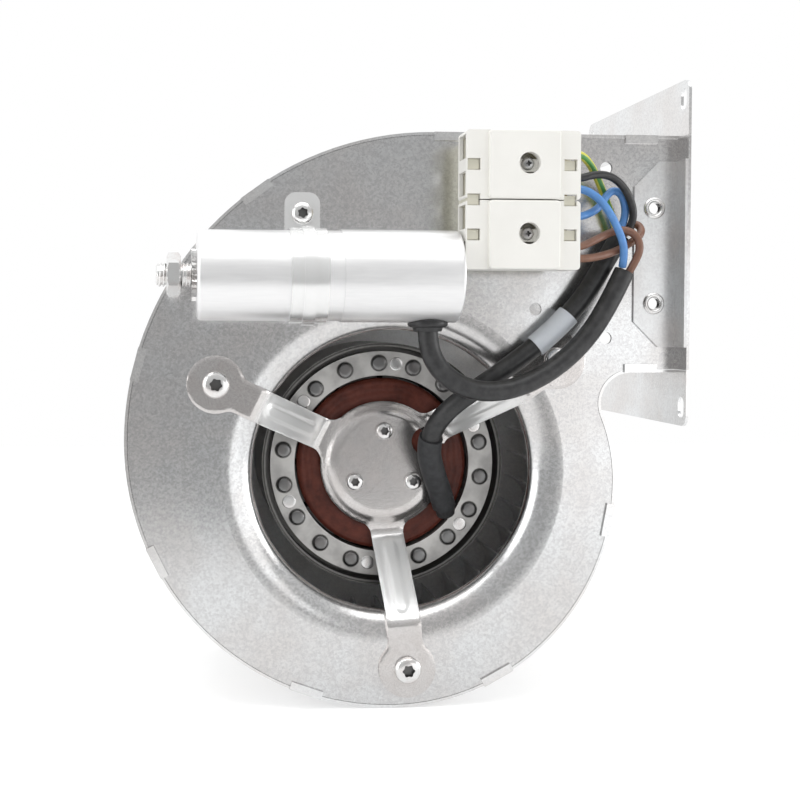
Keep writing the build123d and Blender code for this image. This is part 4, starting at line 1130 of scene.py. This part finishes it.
# Capacitor lead: two cores in the same sheath, from the grommet under the capacitor round to the terminals,
# where it is cut back beside the motor lead.
capacitor_route = (
    (0.0083, 0.0534, -0.0163), (0.0083, 0.0456, -0.0163), (0.0109, 0.0383, -0.0163), (0.0172, 0.0320, -0.0158),
    (0.0270, 0.0286, -0.0152), (0.0391, 0.0297, -0.0144), (0.0511, 0.0352, -0.0136), (0.0625, 0.0445, -0.0130),
    (0.0714, 0.0569, -0.0130), (0.0778, 0.0704, -0.0130),
)
free_cord("capacitor_lead_run", rubber, lead_radius, capacitor_route)

# Wires: the leads' cores in their own insulation, black, green and yellow, blue and brown. They part from the
# ends of the sheaths, curve round and are clamped in the terminals.
black_core = insulation("black_core", (0.014, 0.014, 0.015), (0.03, 0.03, 0.031), 0.28)
blue_core = insulation("blue_core", (0.115, 0.30, 0.66), (0.095, 0.255, 0.58), 0.3)
brown_core = insulation("brown_core", (0.24, 0.12, 0.078), (0.19, 0.092, 0.060), 0.3)
earth = Finish("earth_core")
round_wire = earth.add("ShaderNodeSeparateXYZ", {}, {"Vector": earth.add("ShaderNodeUVMap")}).other("Y")
saw = earth.add("ShaderNodeMath", {"operation": "PINGPONG"}, {0: round_wire, 1: 0.25})
green_share = earth.smooth(saw, 0.085, 0.10)
rubbed = earth.noise(2.5 * mm, detail=4)
earth_core = earth.surface(
    Base_Color=earth.blend(green_share, (0.09, 0.30, 0.075), (0.66, 0.63, 0.09)),
    Roughness=0.3 + rubbed * 0.12,
    Normal=earth.bumps(rubbed, 0.03 * mm),
)
black_route = (
    (0.0545, 0.1012, -0.0190), (0.0600, 0.1014, -0.0190), (0.0650, 0.1030, -0.0174), (0.0706, 0.1033, -0.0154),
    (0.0756, 0.1011, -0.0135), (0.0794, 0.0970, -0.0120), (0.0817, 0.0920, -0.0106), (0.0819, 0.0874, -0.0094),
    (0.0802, 0.0835, -0.0084),
)
free_cord("black_wire_run", black_core, wire_radius, black_route)
earth_route = (
    (0.0545, 0.1102, -0.0190), (0.0596, 0.1100, -0.0190), (0.0642, 0.1076, -0.0150), (0.0680, 0.1039, -0.0109),
    (0.0714, 0.0994, -0.0076), (0.0738, 0.0946, -0.0060), (0.0759, 0.0899, -0.0056), (0.0776, 0.0848, -0.0056),
)
free_cord("earth_wire_run", earth_core, wire_radius, earth_route)
blue_route_1 = (
    (0.0545, 0.0982, -0.0190), (0.0598, 0.0983, -0.0190), (0.0653, 0.0958, -0.0192), (0.0698, 0.0910, -0.0188),
    (0.0730, 0.0857, -0.0182), (0.0756, 0.0806, -0.0172), (0.0769, 0.0762, -0.0154), (0.0770, 0.0720, -0.0132),
)
free_cord("blue_wire_1_run", blue_core, wire_radius, blue_route_1)
blue_route_2 = (
    (0.0545, 0.0882, -0.0190), (0.0596, 0.0884, -0.0188), (0.0646, 0.0900, -0.0160), (0.0689, 0.0926, -0.0134),
    (0.0714, 0.0962, -0.0114), (0.0746, 0.0988, -0.0102), (0.0781, 0.0972, -0.0092), (0.0797, 0.0927, -0.0084),
    (0.0794, 0.0882, -0.0081), (0.0777, 0.0846, -0.0084),
)
free_cord("blue_wire_2_run", blue_core, wire_radius, blue_route_2)
brown_route_1 = (
    (0.0545, 0.0779, -0.0190), (0.0600, 0.0781, -0.0190), (0.0654, 0.0806, -0.0176), (0.0710, 0.0832, -0.0149),
    (0.0766, 0.0849, -0.0134), (0.0810, 0.0834, -0.0140), (0.0828, 0.0792, -0.0148), (0.0818, 0.0746, -0.0142),
    (0.0794, 0.0701, -0.0130),
)
free_cord("brown_wire_1_run", brown_core, wire_radius, brown_route_1)
brown_route_2 = (
    (0.0545, 0.0744, -0.0190), (0.0602, 0.0742, -0.0190), (0.0654, 0.0748, -0.0172), (0.0708, 0.0760, -0.0149),
    (0.0760, 0.0778, -0.0125), (0.0804, 0.0802, -0.0112), (0.0840, 0.0826, -0.0102), (0.0857, 0.0850, -0.0082),
    (0.0849, 0.0872, -0.0063), (0.0828, 0.0872, -0.0050), (0.0812, 0.0854, -0.0048), (0.0802, 0.0834, -0.0056),
)
free_cord("brown_wire_2_run", brown_core, wire_radius, brown_route_2)
